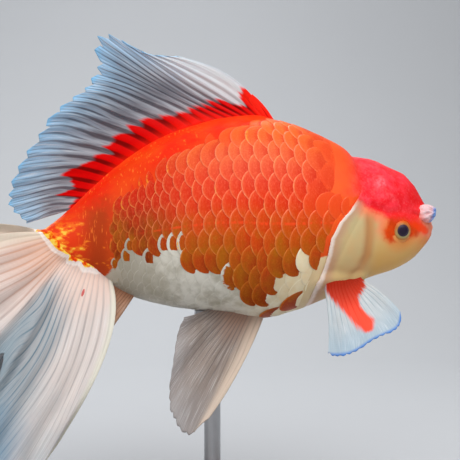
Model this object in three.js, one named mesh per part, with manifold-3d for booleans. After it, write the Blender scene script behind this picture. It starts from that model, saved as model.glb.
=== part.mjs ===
// A red-and-white fancy goldfish with a small head growth (an oranda), life size, swimming, held on a plain
// display stand.
//
// Millimetres, +Z up. The fish heads towards +X, its right side faces -Y, and the origin is the middle of
// the underside of the stand's base. The fish is shaped straight, in its own frame: x runs forwards, y to its
// left, z up, and z = 0 is its long axis. Its pieces are parted there by thin cuts, and swim() then bends
// head and tail.

import * as THREE from 'three';
import { mergeVertices } from 'three/addons/utils/BufferGeometryUtils.js';
import Module from 'manifold-3d';

const wasm = await Module();
wasm.setup();

// ---------------------------------------------------------------- driving dimensions

const AXIS_HEIGHT = 108; // the fish's long axis above the floor
const GAP = 0.3; // between pieces that meet
const TAIL_BEND = { turn: THREE.MathUtils.degToRad(12), from: -10, over: 50 };
const HEAD_BEND = { turn: THREE.MathUtils.degToRad(5), from: 30, over: 50 };

// The body's sections from the mouth to the root of the tail. A section leans: its highest point on the back,
// its widest point on the flank and its lowest point on the belly each have their own place along the fish.
const SECTIONS = [
  { name: 'mouth', back: [82.8, 1.0], flank: [82.2, 2.7, -0.8], belly: [82.1, -2.9] },
  { name: 'nose', back: [80.6, 7.8], flank: [78.0, 8.2, 0.0], belly: [79.7, -6.1] },
  { name: 'brow', back: [75.0, 16.8], flank: [71.5, 12.5, 0.5], belly: [74.3, -11.1] },
  { name: 'crown', back: [67.0, 22.8], flank: [65.0, 16.0, 0.7], belly: [66.5, -15.1] },
  { name: 'nape', back: [53.5, 26.6], flank: [54.0, 20.0, 0.8], belly: [55.5, -18.5] },
  { name: 'shoulder', back: [41.5, 34.0], flank: [40.0, 24.0, 1.4], belly: [42.0, -24.8] },
  { name: 'front of the back fin', back: [22.0, 40.3], flank: [22.0, 27.0, 1.9], belly: [20.5, -32.0] },
  { name: 'middle', back: [3.0, 39.8], flank: [3.0, 26.5, 2.0], belly: [3.0, -29.9] },
  { name: 'loin', back: [-17.0, 33.3], flank: [-14.0, 22.0, 1.2], belly: [-14.5, -27.8] },
  { name: 'rear of the back fin', back: [-34.0, 22.5], flank: [-30.0, 14.5, 0.0], belly: [-30.5, -23.3] },
  { name: 'stalk', back: [-48.0, 10.0], flank: [-44.5, 8.5, -2.3], belly: [-41.5, -16.7] },
  { name: 'root of the tail', back: [-60.0, 1.0], flank: [-56.0, 6.0, -5.0], belly: [-51.0, -11.2] },
];
const BACK_ROUNDNESS = 2.05; // exponent of each section's upper half, 2 being an ellipse
const BELLY_ROUNDNESS = 2.25;
const BODY_RINGS = 33;
const BODY_SIDES = 28;
const THINNEST = 0.1; // of the shrunken body's section at the mouth

// A fin spreads between guide rays. A ray runs from its root by its bend to its tip.
const BACK_FIN = [
  { root: [21.5, 0, 38.0], bend: [10.5, 1, 61.5], tip: [-17, 2, 64] },
  { root: [14, 0, 38.0], bend: [-6, 2, 60], tip: [-41, 5, 72] },
  { root: [-3, 0, 37.0], bend: [-20, 2, 51], tip: [-43, 4, 55] },
  { root: [-18, 0, 30.0], bend: [-34, 0, 42], tip: [-57, -2, 42] },
  { root: [-31, 0, 22.0], bend: [-46, -1, 30], tip: [-68, 0, 26] },
  { root: [-41, 0, 13.5], bend: [-55, 0, 16], tip: [-73, 3, 11] },
  { root: [-47, 0, 8.5], bend: [-58, 0, 5.6], tip: [-67, 1, 2.5] },
];
const TAIL_FIN_RIGHT = [
  { root: [-60.5, -2.0, -0.5], bend: [-75, -8, 2.5], tip: [-132, -20, -11] },
  { root: [-58.5, -2.2, -3.5], bend: [-79, -12, -9.5], tip: [-136, -24, -27] },
  { root: [-56, -2.5, -6.5], bend: [-74, -14, -19], tip: [-126, -26, -42] },
  { root: [-54, -2.5, -8.5], bend: [-69, -13, -24.5], tip: [-104, -22, -53] },
  { root: [-52, -2.5, -10], bend: [-63.5, -12, -23], tip: [-77.5, -17, -41.5] },
  { root: [-49, -2.5, -11], bend: [-61, -16, -34.5], tip: [-94, -26, -75.5] },
  { root: [-45.5, -2.5, -12], bend: [-56, -20, -39.5], tip: [-95.5, -31, -93] },
  { root: [-42, -2.5, -13], bend: [-44, -21, -39.5], tip: [-85, -32, -96] },
  { root: [-38.5, -2.0, -14], bend: [-26.8, -18, -35.5], tip: [-72, -29, -82.5] },
];
const PECTORAL_FIN_RIGHT = [
  { root: [50, -14, -15], bend: [53.5, -24, -20], tip: [61.5, -31, -29] },
  { root: [46, -15, -16.5], bend: [50, -27, -25], tip: [53, -34, -34] },
  { root: [42, -16, -17.5], bend: [44.5, -28, -29.5], tip: [44, -35, -39] },
  { root: [38, -16, -18], bend: [38, -26, -31], tip: [36, -32, -42] },
];
const PECTORAL_FIN_LEFT = [
  { root: [49, 14, -12], bend: [44, 25, -13], tip: [28, 36, -12] },
  { root: [46, 15, -13.5], bend: [41, 27, -17], tip: [22, 37, -17] },
  { root: [43, 15.5, -15], bend: [38, 27, -20], tip: [20, 35, -21.5] },
  { root: [40, 16, -16.5], bend: [35, 25, -22], tip: [23, 31, -24.5] },
];
const PELVIC_FIN_RIGHT = [
  { root: [17, -4.5, -28], bend: [14, -17, -43.5], tip: [-9.5, -30, -67.5] },
  { root: [13, -5, -28], bend: [2.5, -17, -45], tip: [-17.5, -27, -60.5] },
  { root: [9, -5.5, -27.5], bend: [-3, -16, -40.5], tip: [-17, -23, -47.5] },
  { root: [5, -5.5, -27], bend: [-4, -14, -33], tip: [-13, -19, -35.5] },
  { root: [1.5, -5.5, -26.5], bend: [-6, -11, -29.5], tip: [-11, -14, -29.5] },
];
const ANAL_FIN_RIGHT = [
  { root: [-27, -2, -21], bend: [-32, -6, -28], tip: [-45.5, -12, -43.5] },
  { root: [-31.5, -2.2, -19.5], bend: [-38.5, -7, -28.5], tip: [-52, -12, -40.5] },
  { root: [-36, -2.4, -17], bend: [-43.5, -7, -24], tip: [-54, -10, -33] },
];
const LEFT_TAIL_CARRIED = [0, 9]; // at its tips, forwards and up, against the right half
const LEFT_PELVIC_CARRIED = [7, -2];
const FIN_THICKNESS = { root: 1.6, tip: 0.6 };

// The lines along which the body is parted, seen from the right side: [x, z]. The part that a line frees
// lies to the left of the way it runs.
const NECK_LINE = [
  [49.5, 42], [51.5, 24], [50.4, 14], [48.4, 11.3], [45.4, 7.4], [41.4, 3.2], [38.4, -2.6], [37.4, -8.6],
  [36.2, -13.6], [34, -18], [32, -34],
];
const GROWTH_LINE = [[40, 11.8], [52, 11.4], [60, 8.2], [66, 6.6], [72, 6.2], [77, 5.2], [90, 7]];
const STALK_LINE = [[-32.5, -34], [-35, -14], [-36.2, 0], [-35.5, 14], [-33, 40]];
const SNOUT_LINE = [
  [95, 3.6], [81, 3.4], [78.2, 2.2], [77, -0.2], [76.3, -2.2], [74.5, -3.4], [73.6, -5.8], [74.2, -20],
];
const SNOUT_WIDTH = 11;
const MOUTH_LINE = [[95, 0.2], [82, -1.3], [76.5, -2.3], [70, -3.6]];
const GILL_OUTLINE = [
  [47.4, 10.2], [43.2, 6.8], [39.2, 2.4], [36.2, -2.8], [35.2, -8.6], [34, -13.6], [33.4, -17], [38, -19.2],
  [44, -18.4], [49.8, -15], [52.6, -9], [53.4, -2], [52.8, 4.2], [50.8, 8.4],
];
const GILL_COVER_THICKNESS = 2.2;
const BEYOND = 60; // well outside the fish, where the cutting shapes end

const EYE = { centre: [65.2, 13.3, 0.1], radius: 4.3 };
const NOSTRIL_FLAP = { centre: [78.4, 6.3, 6.2], radius: 3.0, frills: 5, frill: 0.3 };

const STAND = {
  length: 124, width: 84, thickness: 8, corner: 14, chamfer: 1.2,
  rodRadius: 3, collarRadius: 8, collarHeight: 5, saddleRadius: 6.5, saddleFoot: -41, saddleTop: -28,
};

const COLOURS = {
  red: 0xe2401e, cap: 0xd2202a, cream: 0xe6d8bc, jaw: 0xe0a070, pearl: 0xe4ddd2, fin: 0xe6e9ee, eye: 0x241a26,
  flap: 0xe4dcea, steel: 0x9a9ca0, base: 0x2a2b2e,
};

// ---------------------------------------------------------------- solids and geometries

function toSolid(geometry) {
  const bare = new THREE.BufferGeometry();
  bare.setAttribute('position', geometry.getAttribute('position'));
  if (geometry.index) bare.setIndex(geometry.index);
  const merged = mergeVertices(bare, 1e-4);
  const vertProperties = new Float32Array(merged.getAttribute('position').array);
  const triVerts = new Uint32Array(merged.index.array);
  return new wasm.Manifold(new wasm.Mesh({ numProp: 3, vertProperties, triVerts }));
}

function toGeometry(solid) {
  const mesh = solid.getMesh();
  const geometry = new THREE.BufferGeometry();
  geometry.setAttribute('position', new THREE.BufferAttribute(new Float32Array(mesh.vertProperties), 3));
  geometry.setIndex([...mesh.triVerts]);
  return geometry;
}

function geometryFrom(points, faces) {
  const geometry = new THREE.BufferGeometry().setFromPoints(points);
  geometry.setIndex(faces.flat());
  return geometry;
}

const curveThrough = (points) => new THREE.CatmullRomCurve3(points, false, 'catmullrom', 0.5);

// ---------------------------------------------------------------- the body's surface

const backLine = curveThrough(SECTIONS.map(({ back: [x, z] }) => new THREE.Vector3(x, 0, z)));
const flankLine = curveThrough(SECTIONS.map(({ flank: [x, w, z] }) => new THREE.Vector3(x, w, z)));
const bellyLine = curveThrough(SECTIONS.map(({ belly: [x, z] }) => new THREE.Vector3(x, 0, z)));

// along: 0 at the mouth, 1 at the root of the tail. around: 0 on the back, a quarter on the right flank, a
// half on the belly. The surface stands out by grow, or in where grow is negative.
function bodyPoint(along, around, grow) {
  const angle = around * 2 * Math.PI;
  const up = Math.cos(angle) > 0;
  const edge = (up ? backLine : bellyLine).getPoint(along);
  const flank = flankLine.getPoint(along);
  const power = 2 / (up ? BACK_ROUNDNESS : BELLY_ROUNDNESS);
  const rise = edge.z - flank.z;
  const reach = up ? Math.max(rise + grow, THINNEST) : Math.min(rise - grow, -THINNEST);
  const width = flank.y + grow;
  const x = THREE.MathUtils.lerp(flank.x, edge.x, Math.cos(angle) ** 2) + grow * (1 - 2 * along);
  const y = -Math.sign(Math.sin(angle)) * width * Math.abs(Math.sin(angle)) ** power;
  const z = flank.z + reach * Math.abs(Math.cos(angle)) ** power;
  return new THREE.Vector3(x, y, z);
}

function bodySolid(grow) {
  const points = [];
  const faces = [];
  for (let ring = 0; ring <= BODY_RINGS; ring += 1) {
    for (let side = 0; side < BODY_SIDES; side += 1) {
      points.push(bodyPoint(ring / BODY_RINGS, side / BODY_SIDES, grow));
    }
  }
  for (let ring = 0; ring < BODY_RINGS; ring += 1) {
    for (let side = 0; side < BODY_SIDES; side += 1) {
      const a = ring * BODY_SIDES + side;
      const b = ring * BODY_SIDES + ((side + 1) % BODY_SIDES);
      faces.push([a, a + BODY_SIDES, b], [b, a + BODY_SIDES, b + BODY_SIDES]);
    }
  }
  for (const [first, flip] of [[0, false], [BODY_RINGS * BODY_SIDES, true]]) {
    const middle = points.length;
    const rim = points.slice(first, first + BODY_SIDES);
    points.push(rim.reduce((sum, point) => sum.add(point), new THREE.Vector3()).divideScalar(BODY_SIDES));
    for (let side = 0; side < BODY_SIDES; side += 1) {
      const a = first + side;
      const b = first + ((side + 1) % BODY_SIDES);
      faces.push(flip ? [middle, b, a] : [middle, a, b]);
    }
  }
  return toSolid(geometryFrom(points, faces));
}

// ---------------------------------------------------------------- cutting shapes

// A side outline [x, z], pushed right through the fish.
function profileSolid(outline, width) {
  const shape = new THREE.Shape(outline.map(([x, z]) => new THREE.Vector2(x, z)));
  const geometry = new THREE.ExtrudeGeometry(shape, { depth: width, bevelEnabled: false });
  geometry.rotateX(Math.PI / 2);
  geometry.translate(0, width / 2, 0);
  return toSolid(geometry);
}

const smooth = (line, steps) => new THREE.SplineCurve(line.map(([x, z]) => new THREE.Vector2(x, z)))
  .getPoints(steps).map((point) => [point.x, point.y]);

// Moves a line sideways, to the right of the way it runs.
function shifted(line, distance, closed = false) {
  const last = line.length - 1;
  return line.map(([x, z], index) => {
    const before = line[index > 0 || !closed ? Math.max(index - 1, 0) : last];
    const after = line[index < last || !closed ? Math.min(index + 1, last) : 0];
    const run = new THREE.Vector2(after[0] - before[0], after[1] - before[1]).normalize();
    return [x + run.y * distance, z - run.x * distance];
  });
}

// Both parts of a solid that a line divides: the part inside line and corners, as wide as width, and the
// rest.
function parted(solid, line, corners, width = 2 * BEYOND) {
  const inside = profileSolid([...shifted(line, -GAP / 2), ...corners], width - GAP);
  const outside = profileSolid([...shifted(line, GAP / 2), ...corners], width + GAP);
  return [solid.intersect(inside), solid.subtract(outside)];
}

// ---------------------------------------------------------------- fins

// The other side's fin, with its tips carried further forwards and up.
const mirrored = (rays, [forwards, up] = [0, 0]) => rays.map(({ root, bend, tip }) => ({
  root: [root[0], -root[1], root[2]],
  bend: [bend[0] + forwards / 2, -bend[1], bend[2] + up / 2],
  tip: [tip[0] + forwards, -tip[1], tip[2] + up],
}));

// The part of a fin between two shares of its spread, closed all round and thinnest at its free edge.
function finSolid(rays, across, along, start = 0, end = 1) {
  const curves = rays.map(({ root, bend, tip }) => new THREE.QuadraticBezierCurve3(
    new THREE.Vector3(...root), new THREE.Vector3(...bend), new THREE.Vector3(...tip)));
  const at = (spread, out) => curveThrough(curves.map((curve) => curve.getPoint(out))).getPoint(spread);
  const step = 0.002;
  const sheets = [[], []];
  for (let i = 0; i <= across; i += 1) {
    for (let j = 0; j <= along; j += 1) {
      const spread = start + (end - start) * (i / across);
      const out = j / along;
      const aside = at(Math.min(spread + step, 1), out).sub(at(Math.max(spread - step, 0), out));
      const outward = at(spread, Math.min(out + step, 1)).sub(at(spread, Math.max(out - step, 0)));
      const half = THREE.MathUtils.lerp(FIN_THICKNESS.root, FIN_THICKNESS.tip, out) / 2;
      const push = aside.cross(outward).normalize().multiplyScalar(half);
      sheets[0].push(at(spread, out).add(push));
      sheets[1].push(at(spread, out).sub(push));
    }
  }
  const row = along + 1;
  const second = sheets[0].length;
  const faces = [];
  const quad = (a, b, c, d) => faces.push([a, b, c], [a, c, d]);
  for (let i = 0; i < across; i += 1) {
    for (let j = 0; j < along; j += 1) {
      const a = i * row + j;
      quad(a, a + row, a + row + 1, a + 1);
      quad(second + a, second + a + 1, second + a + row + 1, second + a + row);
    }
    const tip = i * row + along;
    quad(tip, tip + row, second + tip + row, second + tip);
    quad(i * row, second + i * row, second + i * row + row, i * row + row);
  }
  for (let j = 0; j < along; j += 1) {
    const far = across * row + j;
    quad(j, j + 1, second + j + 1, second + j);
    quad(far, second + far, second + far + 1, far + 1);
  }
  return toSolid(geometryFrom([...sheets[0], ...sheets[1]], faces));
}

const sideOf = (right) => {
  const half = new THREE.BoxGeometry(4 * BEYOND, 2 * BEYOND, 4 * BEYOND);
  half.translate(0, right ? -BEYOND : BEYOND, 0);
  return toSolid(half);
};

function ball(radius, [x, y, z], widthSteps, heightSteps) {
  const geometry = new THREE.SphereGeometry(radius, widthSteps, heightSteps);
  geometry.translate(x, y, z);
  return toSolid(geometry);
}

// ---------------------------------------------------------------- bending into the swimming pose

// Where a run past the start of a bend ends up: along the old way, and aside.
function bent(run, { turn, over }) {
  const angle = turn * THREE.MathUtils.clamp(run / over, 0, 1);
  const radius = over / turn;
  const straight = Math.max(run - over, 0);
  return {
    angle,
    along: Math.min(run, 0) + radius * Math.sin(angle) + straight * Math.cos(angle),
    aside: radius * (1 - Math.cos(angle)) + straight * Math.sin(angle),
  };
}

// The tail swings to the fish's right and the head a little to its left.
function swim(point) {
  const tail = bent(Math.max(TAIL_BEND.from - point.x, 0), TAIL_BEND);
  const head = bent(Math.max(point.x - HEAD_BEND.from, 0), HEAD_BEND);
  const middle = THREE.MathUtils.clamp(point.x, TAIL_BEND.from, HEAD_BEND.from);
  const yaw = tail.angle + head.angle;
  return new THREE.Vector3(
    middle - tail.along + head.along - point.y * Math.sin(yaw),
    head.aside - tail.aside + point.y * Math.cos(yaw),
    point.z,
  );
}

function swum(geometry) {
  const places = geometry.getAttribute('position');
  for (let index = 0; index < places.count; index += 1) {
    const point = swim(new THREE.Vector3().fromBufferAttribute(places, index));
    places.setXYZ(index, point.x, point.y, point.z);
  }
  return geometry;
}

// ---------------------------------------------------------------- the model

const model = new THREE.Group();
const fish = new THREE.Group();
fish.position.z = AXIS_HEIGHT;
model.add(fish);

function addMesh(group, name, geometry, colour, roughness, metalness = 0) {
  const material = new THREE.MeshStandardMaterial({ color: colour, roughness, metalness });
  const mesh = new THREE.Mesh(geometry, material);
  mesh.name = name;
  group.add(mesh);
}

const addFlesh = (name, solid, colour, roughness = 0.35) => {
  addMesh(fish, name, swum(toGeometry(solid)), colour, roughness);
};

const body = bodySolid(0);
const clearOfBody = bodySolid(GAP);
const sides = { right: sideOf(true), left: sideOf(false) };

// the body, parted from the head backwards
const [wholeHead, behindHead] = parted(body, smooth(NECK_LINE, 16), [[2 * BEYOND, -34], [2 * BEYOND, 42]]);
const [stalk, trunk] = parted(behindHead, smooth(STALK_LINE, 6), [[-2 * BEYOND, 40], [-2 * BEYOND, -34]]);
addFlesh('trunk', trunk, COLOURS.red);
addFlesh('tail_stalk', stalk, COLOURS.red);

const [growth, belowGrowth] = parted(wholeHead, smooth(GROWTH_LINE, 10), [[90, BEYOND], [40, BEYOND]]);
const [snout, cheeks] = parted(belowGrowth, smooth(SNOUT_LINE, 10), [[95, -20]], SNOUT_WIDTH);
const [lowerJaw, upperJaw] = parted(snout, MOUTH_LINE, [[70, -20], [95, -20]]);
addFlesh('head_growth', growth, COLOURS.cap, 0.4);
addFlesh('upper_jaw', upperJaw, COLOURS.jaw);
addFlesh('lower_jaw', lowerJaw, COLOURS.jaw);

// the gill covers are plates let into the cheeks
const gillEdge = smooth([...GILL_OUTLINE, GILL_OUTLINE[0]], 22).slice(0, -1);
const plates = cheeks.intersect(profileSolid(shifted(gillEdge, -GAP / 2, true), 2 * BEYOND))
  .subtract(bodySolid(-GILL_COVER_THICKNESS));
const plateBeds = profileSolid(shifted(gillEdge, GAP / 2, true), 2 * BEYOND)
  .subtract(bodySolid(-GILL_COVER_THICKNESS - GAP));
let head = cheeks.subtract(plateBeds);
for (const [side, sign] of [['right', -1], ['left', 1]]) {
  const eyeCentre = [EYE.centre[0], sign * EYE.centre[1], EYE.centre[2]];
  head = head.subtract(ball(EYE.radius + GAP, eyeCentre, 16, 10));
  addFlesh(`eye_${side}`, ball(EYE.radius, eyeCentre, 16, 10), COLOURS.eye, 0.08);
  addFlesh(`gill_cover_${side}`, plates.intersect(sides[side]), COLOURS.cream);
}
addFlesh('head', head, COLOURS.cream);

// a frilled flap of skin over each nostril
for (const [side, sign] of [['right', -1], ['left', 1]]) {
  const { centre, radius, frills, frill } = NOSTRIL_FLAP;
  const geometry = new THREE.IcosahedronGeometry(radius, 2);
  const places = geometry.getAttribute('position');
  for (let index = 0; index < places.count; index += 1) {
    const spot = new THREE.Vector3().fromBufferAttribute(places, index);
    const turn = Math.atan2(spot.z, spot.y);
    const swell = 1 + frill * Math.cos(frills * turn) * (1 - (spot.x / radius) ** 2);
    spot.set(spot.x * 0.8, spot.y, spot.z).multiplyScalar(swell);
    places.setXYZ(index, spot.x + centre[0], spot.y + sign * centre[1], spot.z + centre[2]);
  }
  addFlesh(`nostril_flap_${side}`, toSolid(geometry).subtract(clearOfBody), COLOURS.flap, 0.5);
}

// fins
const tailHalves = { right: TAIL_FIN_RIGHT, left: mirrored(TAIL_FIN_RIGHT, LEFT_TAIL_CARRIED) };
const pectorals = { right: PECTORAL_FIN_RIGHT, left: PECTORAL_FIN_LEFT };
const pelvics = { right: PELVIC_FIN_RIGHT, left: mirrored(PELVIC_FIN_RIGHT, LEFT_PELVIC_CARRIED) };
const anals = { right: ANAL_FIN_RIGHT, left: mirrored(ANAL_FIN_RIGHT) };
const fork = 0.5;
const forkGap = 0.01;
const addFin = (name, solid) => addFlesh(name, solid.subtract(clearOfBody), COLOURS.fin, 0.45);
addFin('dorsal_fin', finSolid(BACK_FIN, 18, 5));
for (const side of ['right', 'left']) {
  addFin(`tail_fin_upper_${side}`, finSolid(tailHalves[side], 8, 7, 0, fork - forkGap));
  addFin(`tail_fin_lower_${side}`, finSolid(tailHalves[side], 8, 7, fork + forkGap, 1));
  addFin(`pectoral_fin_${side}`, finSolid(pectorals[side], 7, 4));
  addFin(`pelvic_fin_${side}`, finSolid(pelvics[side], 7, 5));
  addFin(`anal_fin_${side}`, finSolid(anals[side], 5, 4));
}

// ---------------------------------------------------------------- the display stand

const turned = (profile, steps) => new THREE
  .LatheGeometry(profile.map(([r, z]) => new THREE.Vector2(r, z)), steps)
  .rotateX(Math.PI / 2);

const stand = new THREE.Group();
model.add(stand);

const { length, width, corner, chamfer } = STAND;
const plan = new THREE.Shape();
const [innerX, innerY] = [length / 2 - corner, width / 2 - corner];
[[innerX, innerY], [-innerX, innerY], [-innerX, -innerY], [innerX, -innerY]].forEach(([x, y], quarter) => {
  plan.absarc(x, y, corner, quarter * Math.PI / 2, (quarter + 1) * Math.PI / 2);
});
const base = new THREE.ExtrudeGeometry(plan, {
  depth: STAND.thickness - 2 * chamfer, curveSegments: 4,
  bevelThickness: chamfer, bevelSize: chamfer, bevelOffset: -chamfer, bevelSegments: 1,
});
base.translate(0, 0, chamfer);
addMesh(stand, 'stand_base', toGeometry(toSolid(base)), COLOURS.base, 0.5);

const rodTop = AXIS_HEIGHT + STAND.saddleFoot;
const { rodRadius, collarRadius, collarHeight, thickness } = STAND;
const rod = turned([[0, thickness], [rodRadius, thickness], [rodRadius, rodTop], [0, rodTop]], 20);
addMesh(stand, 'stand_rod', toGeometry(toSolid(rod)), COLOURS.steel, 0.3, 1);

const bore = rodRadius + GAP;
const collarTop = thickness + collarHeight;
const collar = turned([
  [bore, thickness], [collarRadius, thickness],
  [collarRadius, collarTop - chamfer], [collarRadius - chamfer, collarTop],
  [bore, collarTop], [bore, thickness],
], 20);
addMesh(stand, 'stand_collar', toGeometry(toSolid(collar)), COLOURS.steel, 0.3, 1);

const { saddleRadius, saddleFoot, saddleTop } = STAND;
const saddle = turned([
  [0, saddleFoot], [rodRadius, saddleFoot], [rodRadius + 0.8, saddleFoot + 3], [saddleRadius, saddleFoot + 8],
  [saddleRadius, saddleTop], [0, saddleTop],
], 20);
addMesh(fish, 'stand_saddle', toGeometry(toSolid(saddle).subtract(clearOfBody)), COLOURS.steel, 0.3, 1);

export default model;
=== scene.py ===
import math

import bpy
import numpy as np
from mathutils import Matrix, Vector

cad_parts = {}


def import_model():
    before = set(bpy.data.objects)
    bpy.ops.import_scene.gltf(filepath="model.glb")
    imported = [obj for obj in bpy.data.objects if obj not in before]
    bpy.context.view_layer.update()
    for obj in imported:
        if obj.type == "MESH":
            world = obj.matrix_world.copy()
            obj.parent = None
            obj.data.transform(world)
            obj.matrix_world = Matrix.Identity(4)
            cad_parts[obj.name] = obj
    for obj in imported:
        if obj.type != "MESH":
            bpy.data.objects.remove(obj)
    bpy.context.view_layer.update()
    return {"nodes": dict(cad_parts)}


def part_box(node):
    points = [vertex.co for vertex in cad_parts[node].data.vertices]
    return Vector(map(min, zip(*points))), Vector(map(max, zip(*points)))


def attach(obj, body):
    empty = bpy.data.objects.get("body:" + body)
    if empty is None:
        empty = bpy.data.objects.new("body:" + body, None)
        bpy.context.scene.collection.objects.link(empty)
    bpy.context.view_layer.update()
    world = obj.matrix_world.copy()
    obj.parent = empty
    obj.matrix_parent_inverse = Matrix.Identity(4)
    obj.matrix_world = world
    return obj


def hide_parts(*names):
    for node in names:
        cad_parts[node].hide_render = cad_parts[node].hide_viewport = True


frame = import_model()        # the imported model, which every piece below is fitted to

# A red-and-white fancy goldfish, life size, swimming, on a plain display stand. Shapes are worked out in
# millimetres in the fish's own straight frame (x forwards, y to its left, z up from its long axis); swim()
# bends them into the pose, and world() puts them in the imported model's frame, in metres.

MM = 0.001
TURN = 2 * math.pi
TINY = 1e-9  # keeps a division from zero
SIDE_WORDS = {-1: "right", 1: "left"}
NOWHERE = -9  # a mark's value where its paint doesn't come

# ---------------------------------------------------------------- driving shapes

EYE_CENTRE = np.array([65.2, 13.3, 0.1])  # of the left eye
EYE_RADIUS = 4.3
eye_low, eye_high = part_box("eye_right")
AXIS_HEIGHT = (eye_low.z + eye_high.z) / 2 / MM - EYE_CENTRE[2]
FLAP_CENTRE = np.array([76.6, 7.4, 5.8])  # of the left nostril's flap
FLAP_RADIUS = 3.8

# highest, widest and lowest points of the body's sections, from the mouth to the root of the tail
BACK = [(82.8, 1), (80.6, 7.8), (75, 16.8), (67, 22.8), (53.5, 26.6), (41.5, 34), (22, 40.3), (3, 39.8),
        (-17, 33.3), (-34, 22.5), (-48, 10), (-60, 1)]
FLANK = [(82.2, 2.7, -0.8), (78, 8.2, 0), (71.5, 12.5, 0.5), (65, 16, 0.7), (54, 20, 0.8), (40, 24, 1.4),
         (22, 27, 1.9), (3, 26.5, 2), (-14, 22, 1.2), (-30, 14.5, 0), (-44.5, 8.5, -2.3), (-56, 6, -5)]
BELLY = [(81.7, -2.9), (79.1, -6.1), (74.3, -11.1), (66.5, -15.1), (55.5, -18.5), (42, -24.8), (20.5, -32),
         (3, -29.9), (-14.5, -27.8), (-30.5, -23.3), (-41.5, -16.7), (-51, -11.2)]
BACK_ROUNDNESS = 2.05  # 2 is an ellipse, more is squarer
BELLY_ROUNDNESS = 2.25
TAIL_TURN, TAIL_FROM = math.radians(12), -10.0  # the body's bend: how far each end turns, and from which x
HEAD_TURN, HEAD_FROM = math.radians(5), 30.0
BEND_LENGTH = 50.0

# fins: guide rays, each its root, bend and tip
BACK_FIN = [((21.5, 0, 38), (11, 1, 60.4), (-14, 2, 62.8)), ((18, 0, 38.2), (1.5, 1.5, 52.7), (-24.9, 3, 64.4)),
            ((14, 0, 38), (-11.2, 2, 48.5), (-41, 5, 72)), ((-3, 0, 37), (-20, 2, 51), (-43, 4, 55)),
            ((-18, 0, 30), (-34, 0, 42), (-57, -2, 42)), ((-31, 0, 22), (-46, -1, 30), (-68, 0, 26)),
            ((-41, 0, 13.5), (-55, 0, 16), (-73, 3, 11)), ((-47, 0, 8.5), (-58, 0, 5.6), (-67, 1, 2.5))]
# the short stiff ray in front of the back fin
BACK_FIN_SPINE = [((23.8, -0.3, 37.4), (20.6, -0.3, 44.6), (14.6, 0.2, 49.4)),
                  ((22.2, -0.3, 37.6), (18.8, -0.3, 43.4), (14.2, 0.2, 48.8)),
                  ((20.2, -0.3, 37.8), (16.8, -0.3, 42.6), (13.0, 0.2, 47.2))]
TAIL_FIN = [((-60.5, -2, -0.5), (-75, -8, 2.5), (-132, -20, -11)),
            ((-58.5, -2.2, -3.5), (-79, -12, -9.5), (-136, -24, -27)),
            ((-56, -2.5, -6.5), (-74, -14, -19), (-126, -26, -42)),
            ((-54, -2.5, -8.5), (-69, -13, -24.5), (-104, -22, -53)),
            ((-52, -2.5, -10), (-63.5, -12, -23), (-77.5, -17, -41.5)),
            ((-49, -2.5, -11), (-61, -16, -34.5), (-94, -26, -75.5)),
            ((-45.5, -2.5, -12), (-56, -20, -39.5), (-95.5, -31, -93)),
            ((-42, -2.5, -13), (-44, -21, -39.5), (-85, -32, -96)),
            ((-38.5, -2, -14), (-26.8, -18, -35.5), (-72, -29, -82.5))]
PECTORAL_RIGHT = [((50, -12.5, -16.8), (56.4, -24, -19.6), (60.9, -30.6, -28.2)),
                  ((47, -13.8, -17.8), (54, -26, -23.5), (58.6, -32.4, -33)),
                  ((44, -15.5, -17.8), (48.5, -27.5, -27), (50, -34, -36.8)),
                  ((40.5, -17, -17), (43.5, -28, -29.5), (42, -34.3, -41.4)),
                  ((36.8, -18, -16.6), (38.2, -26, -30.5), (35.6, -32, -41.8))]
PECTORAL_LEFT = [((49, 14, -12), (44, 25, -13), (28, 36, -12)), ((46, 15, -13.5), (41, 27, -17), (22, 37, -17)),
                 ((43, 15.5, -15), (38, 27, -20), (20, 35, -21.5)),
                 ((40, 16, -16.5), (35, 25, -22), (23, 31, -24.5))]
PELVIC_FIN = [((19.5, -4.5, -28), (8.6, -22, -48.5), (-5.4, -29.5, -64.2)),
              ((13, -5, -28), (-0.5, -18.5, -48), (-11.8, -29.5, -68)),
              ((9, -5.5, -27.5), (-4.5, -16, -42), (-18, -26.5, -61)),
              ((5, -5.5, -27), (-5.5, -13, -34.5), (-16.5, -20, -44.5)),
              ((1.5, -5.5, -26.5), (-6, -11, -29.5), (-12, -14, -30))]
ANAL_FIN = [((-27, -2, -21), (-32, -6, -28), (-45.5, -12, -43.5)),
            ((-31.5, -2.2, -19.5), (-38.5, -7, -28.5), (-52, -12, -40.5)),
            ((-36, -2.4, -17), (-43.5, -7, -24), (-54, -10, -33))]
LEFT_TAIL_CARRIED = (0, 9)  # how far its tips lie forwards and up against the right half's
LEFT_PELVIC_CARRIED = (7, -2)

# lines drawn on the right side, as x and z
GILL_EDGE = [(49.5, 42), (51.5, 24), (50.4, 14), (48.4, 11.3), (45.4, 7.4), (41.4, 3.2), (38.4, -2.6),
             (37.4, -8.6), (36.2, -13.6), (34, -18), (32, -34)]
CHEEK_GROOVE = [(50, 10), (51.6, 8.2), (52.6, 5.9), (52.6, -1.4), (52, -8.4), (50, -13.5), (45, -17.5),
                (39.5, -19.5)]
GILL_SEAM = [(51, 8), (46, 0), (42, -8), (39.6, -14)]
MOUTH_CORNER = [(79.3, -1.2), (77.2, -3.0), (76, -5)]
CHIN_GROOVE = [(78, -7.6), (70, -12.2), (60, -16.8), (48, -21.5)]
HEAD_GROOVES = [(CHEEK_GROOVE, 0.34, 1.0), (GILL_SEAM, 0.15, 0.8), (MOUTH_CORNER, 0.2, 0.8),
                (CHIN_GROOVE, 0.14, 1.1)]  # each with its depth and half width
SNOUT_LINE = [(70.5, 3.2), (74.6, 1.0), (77, -0.4)]
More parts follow.
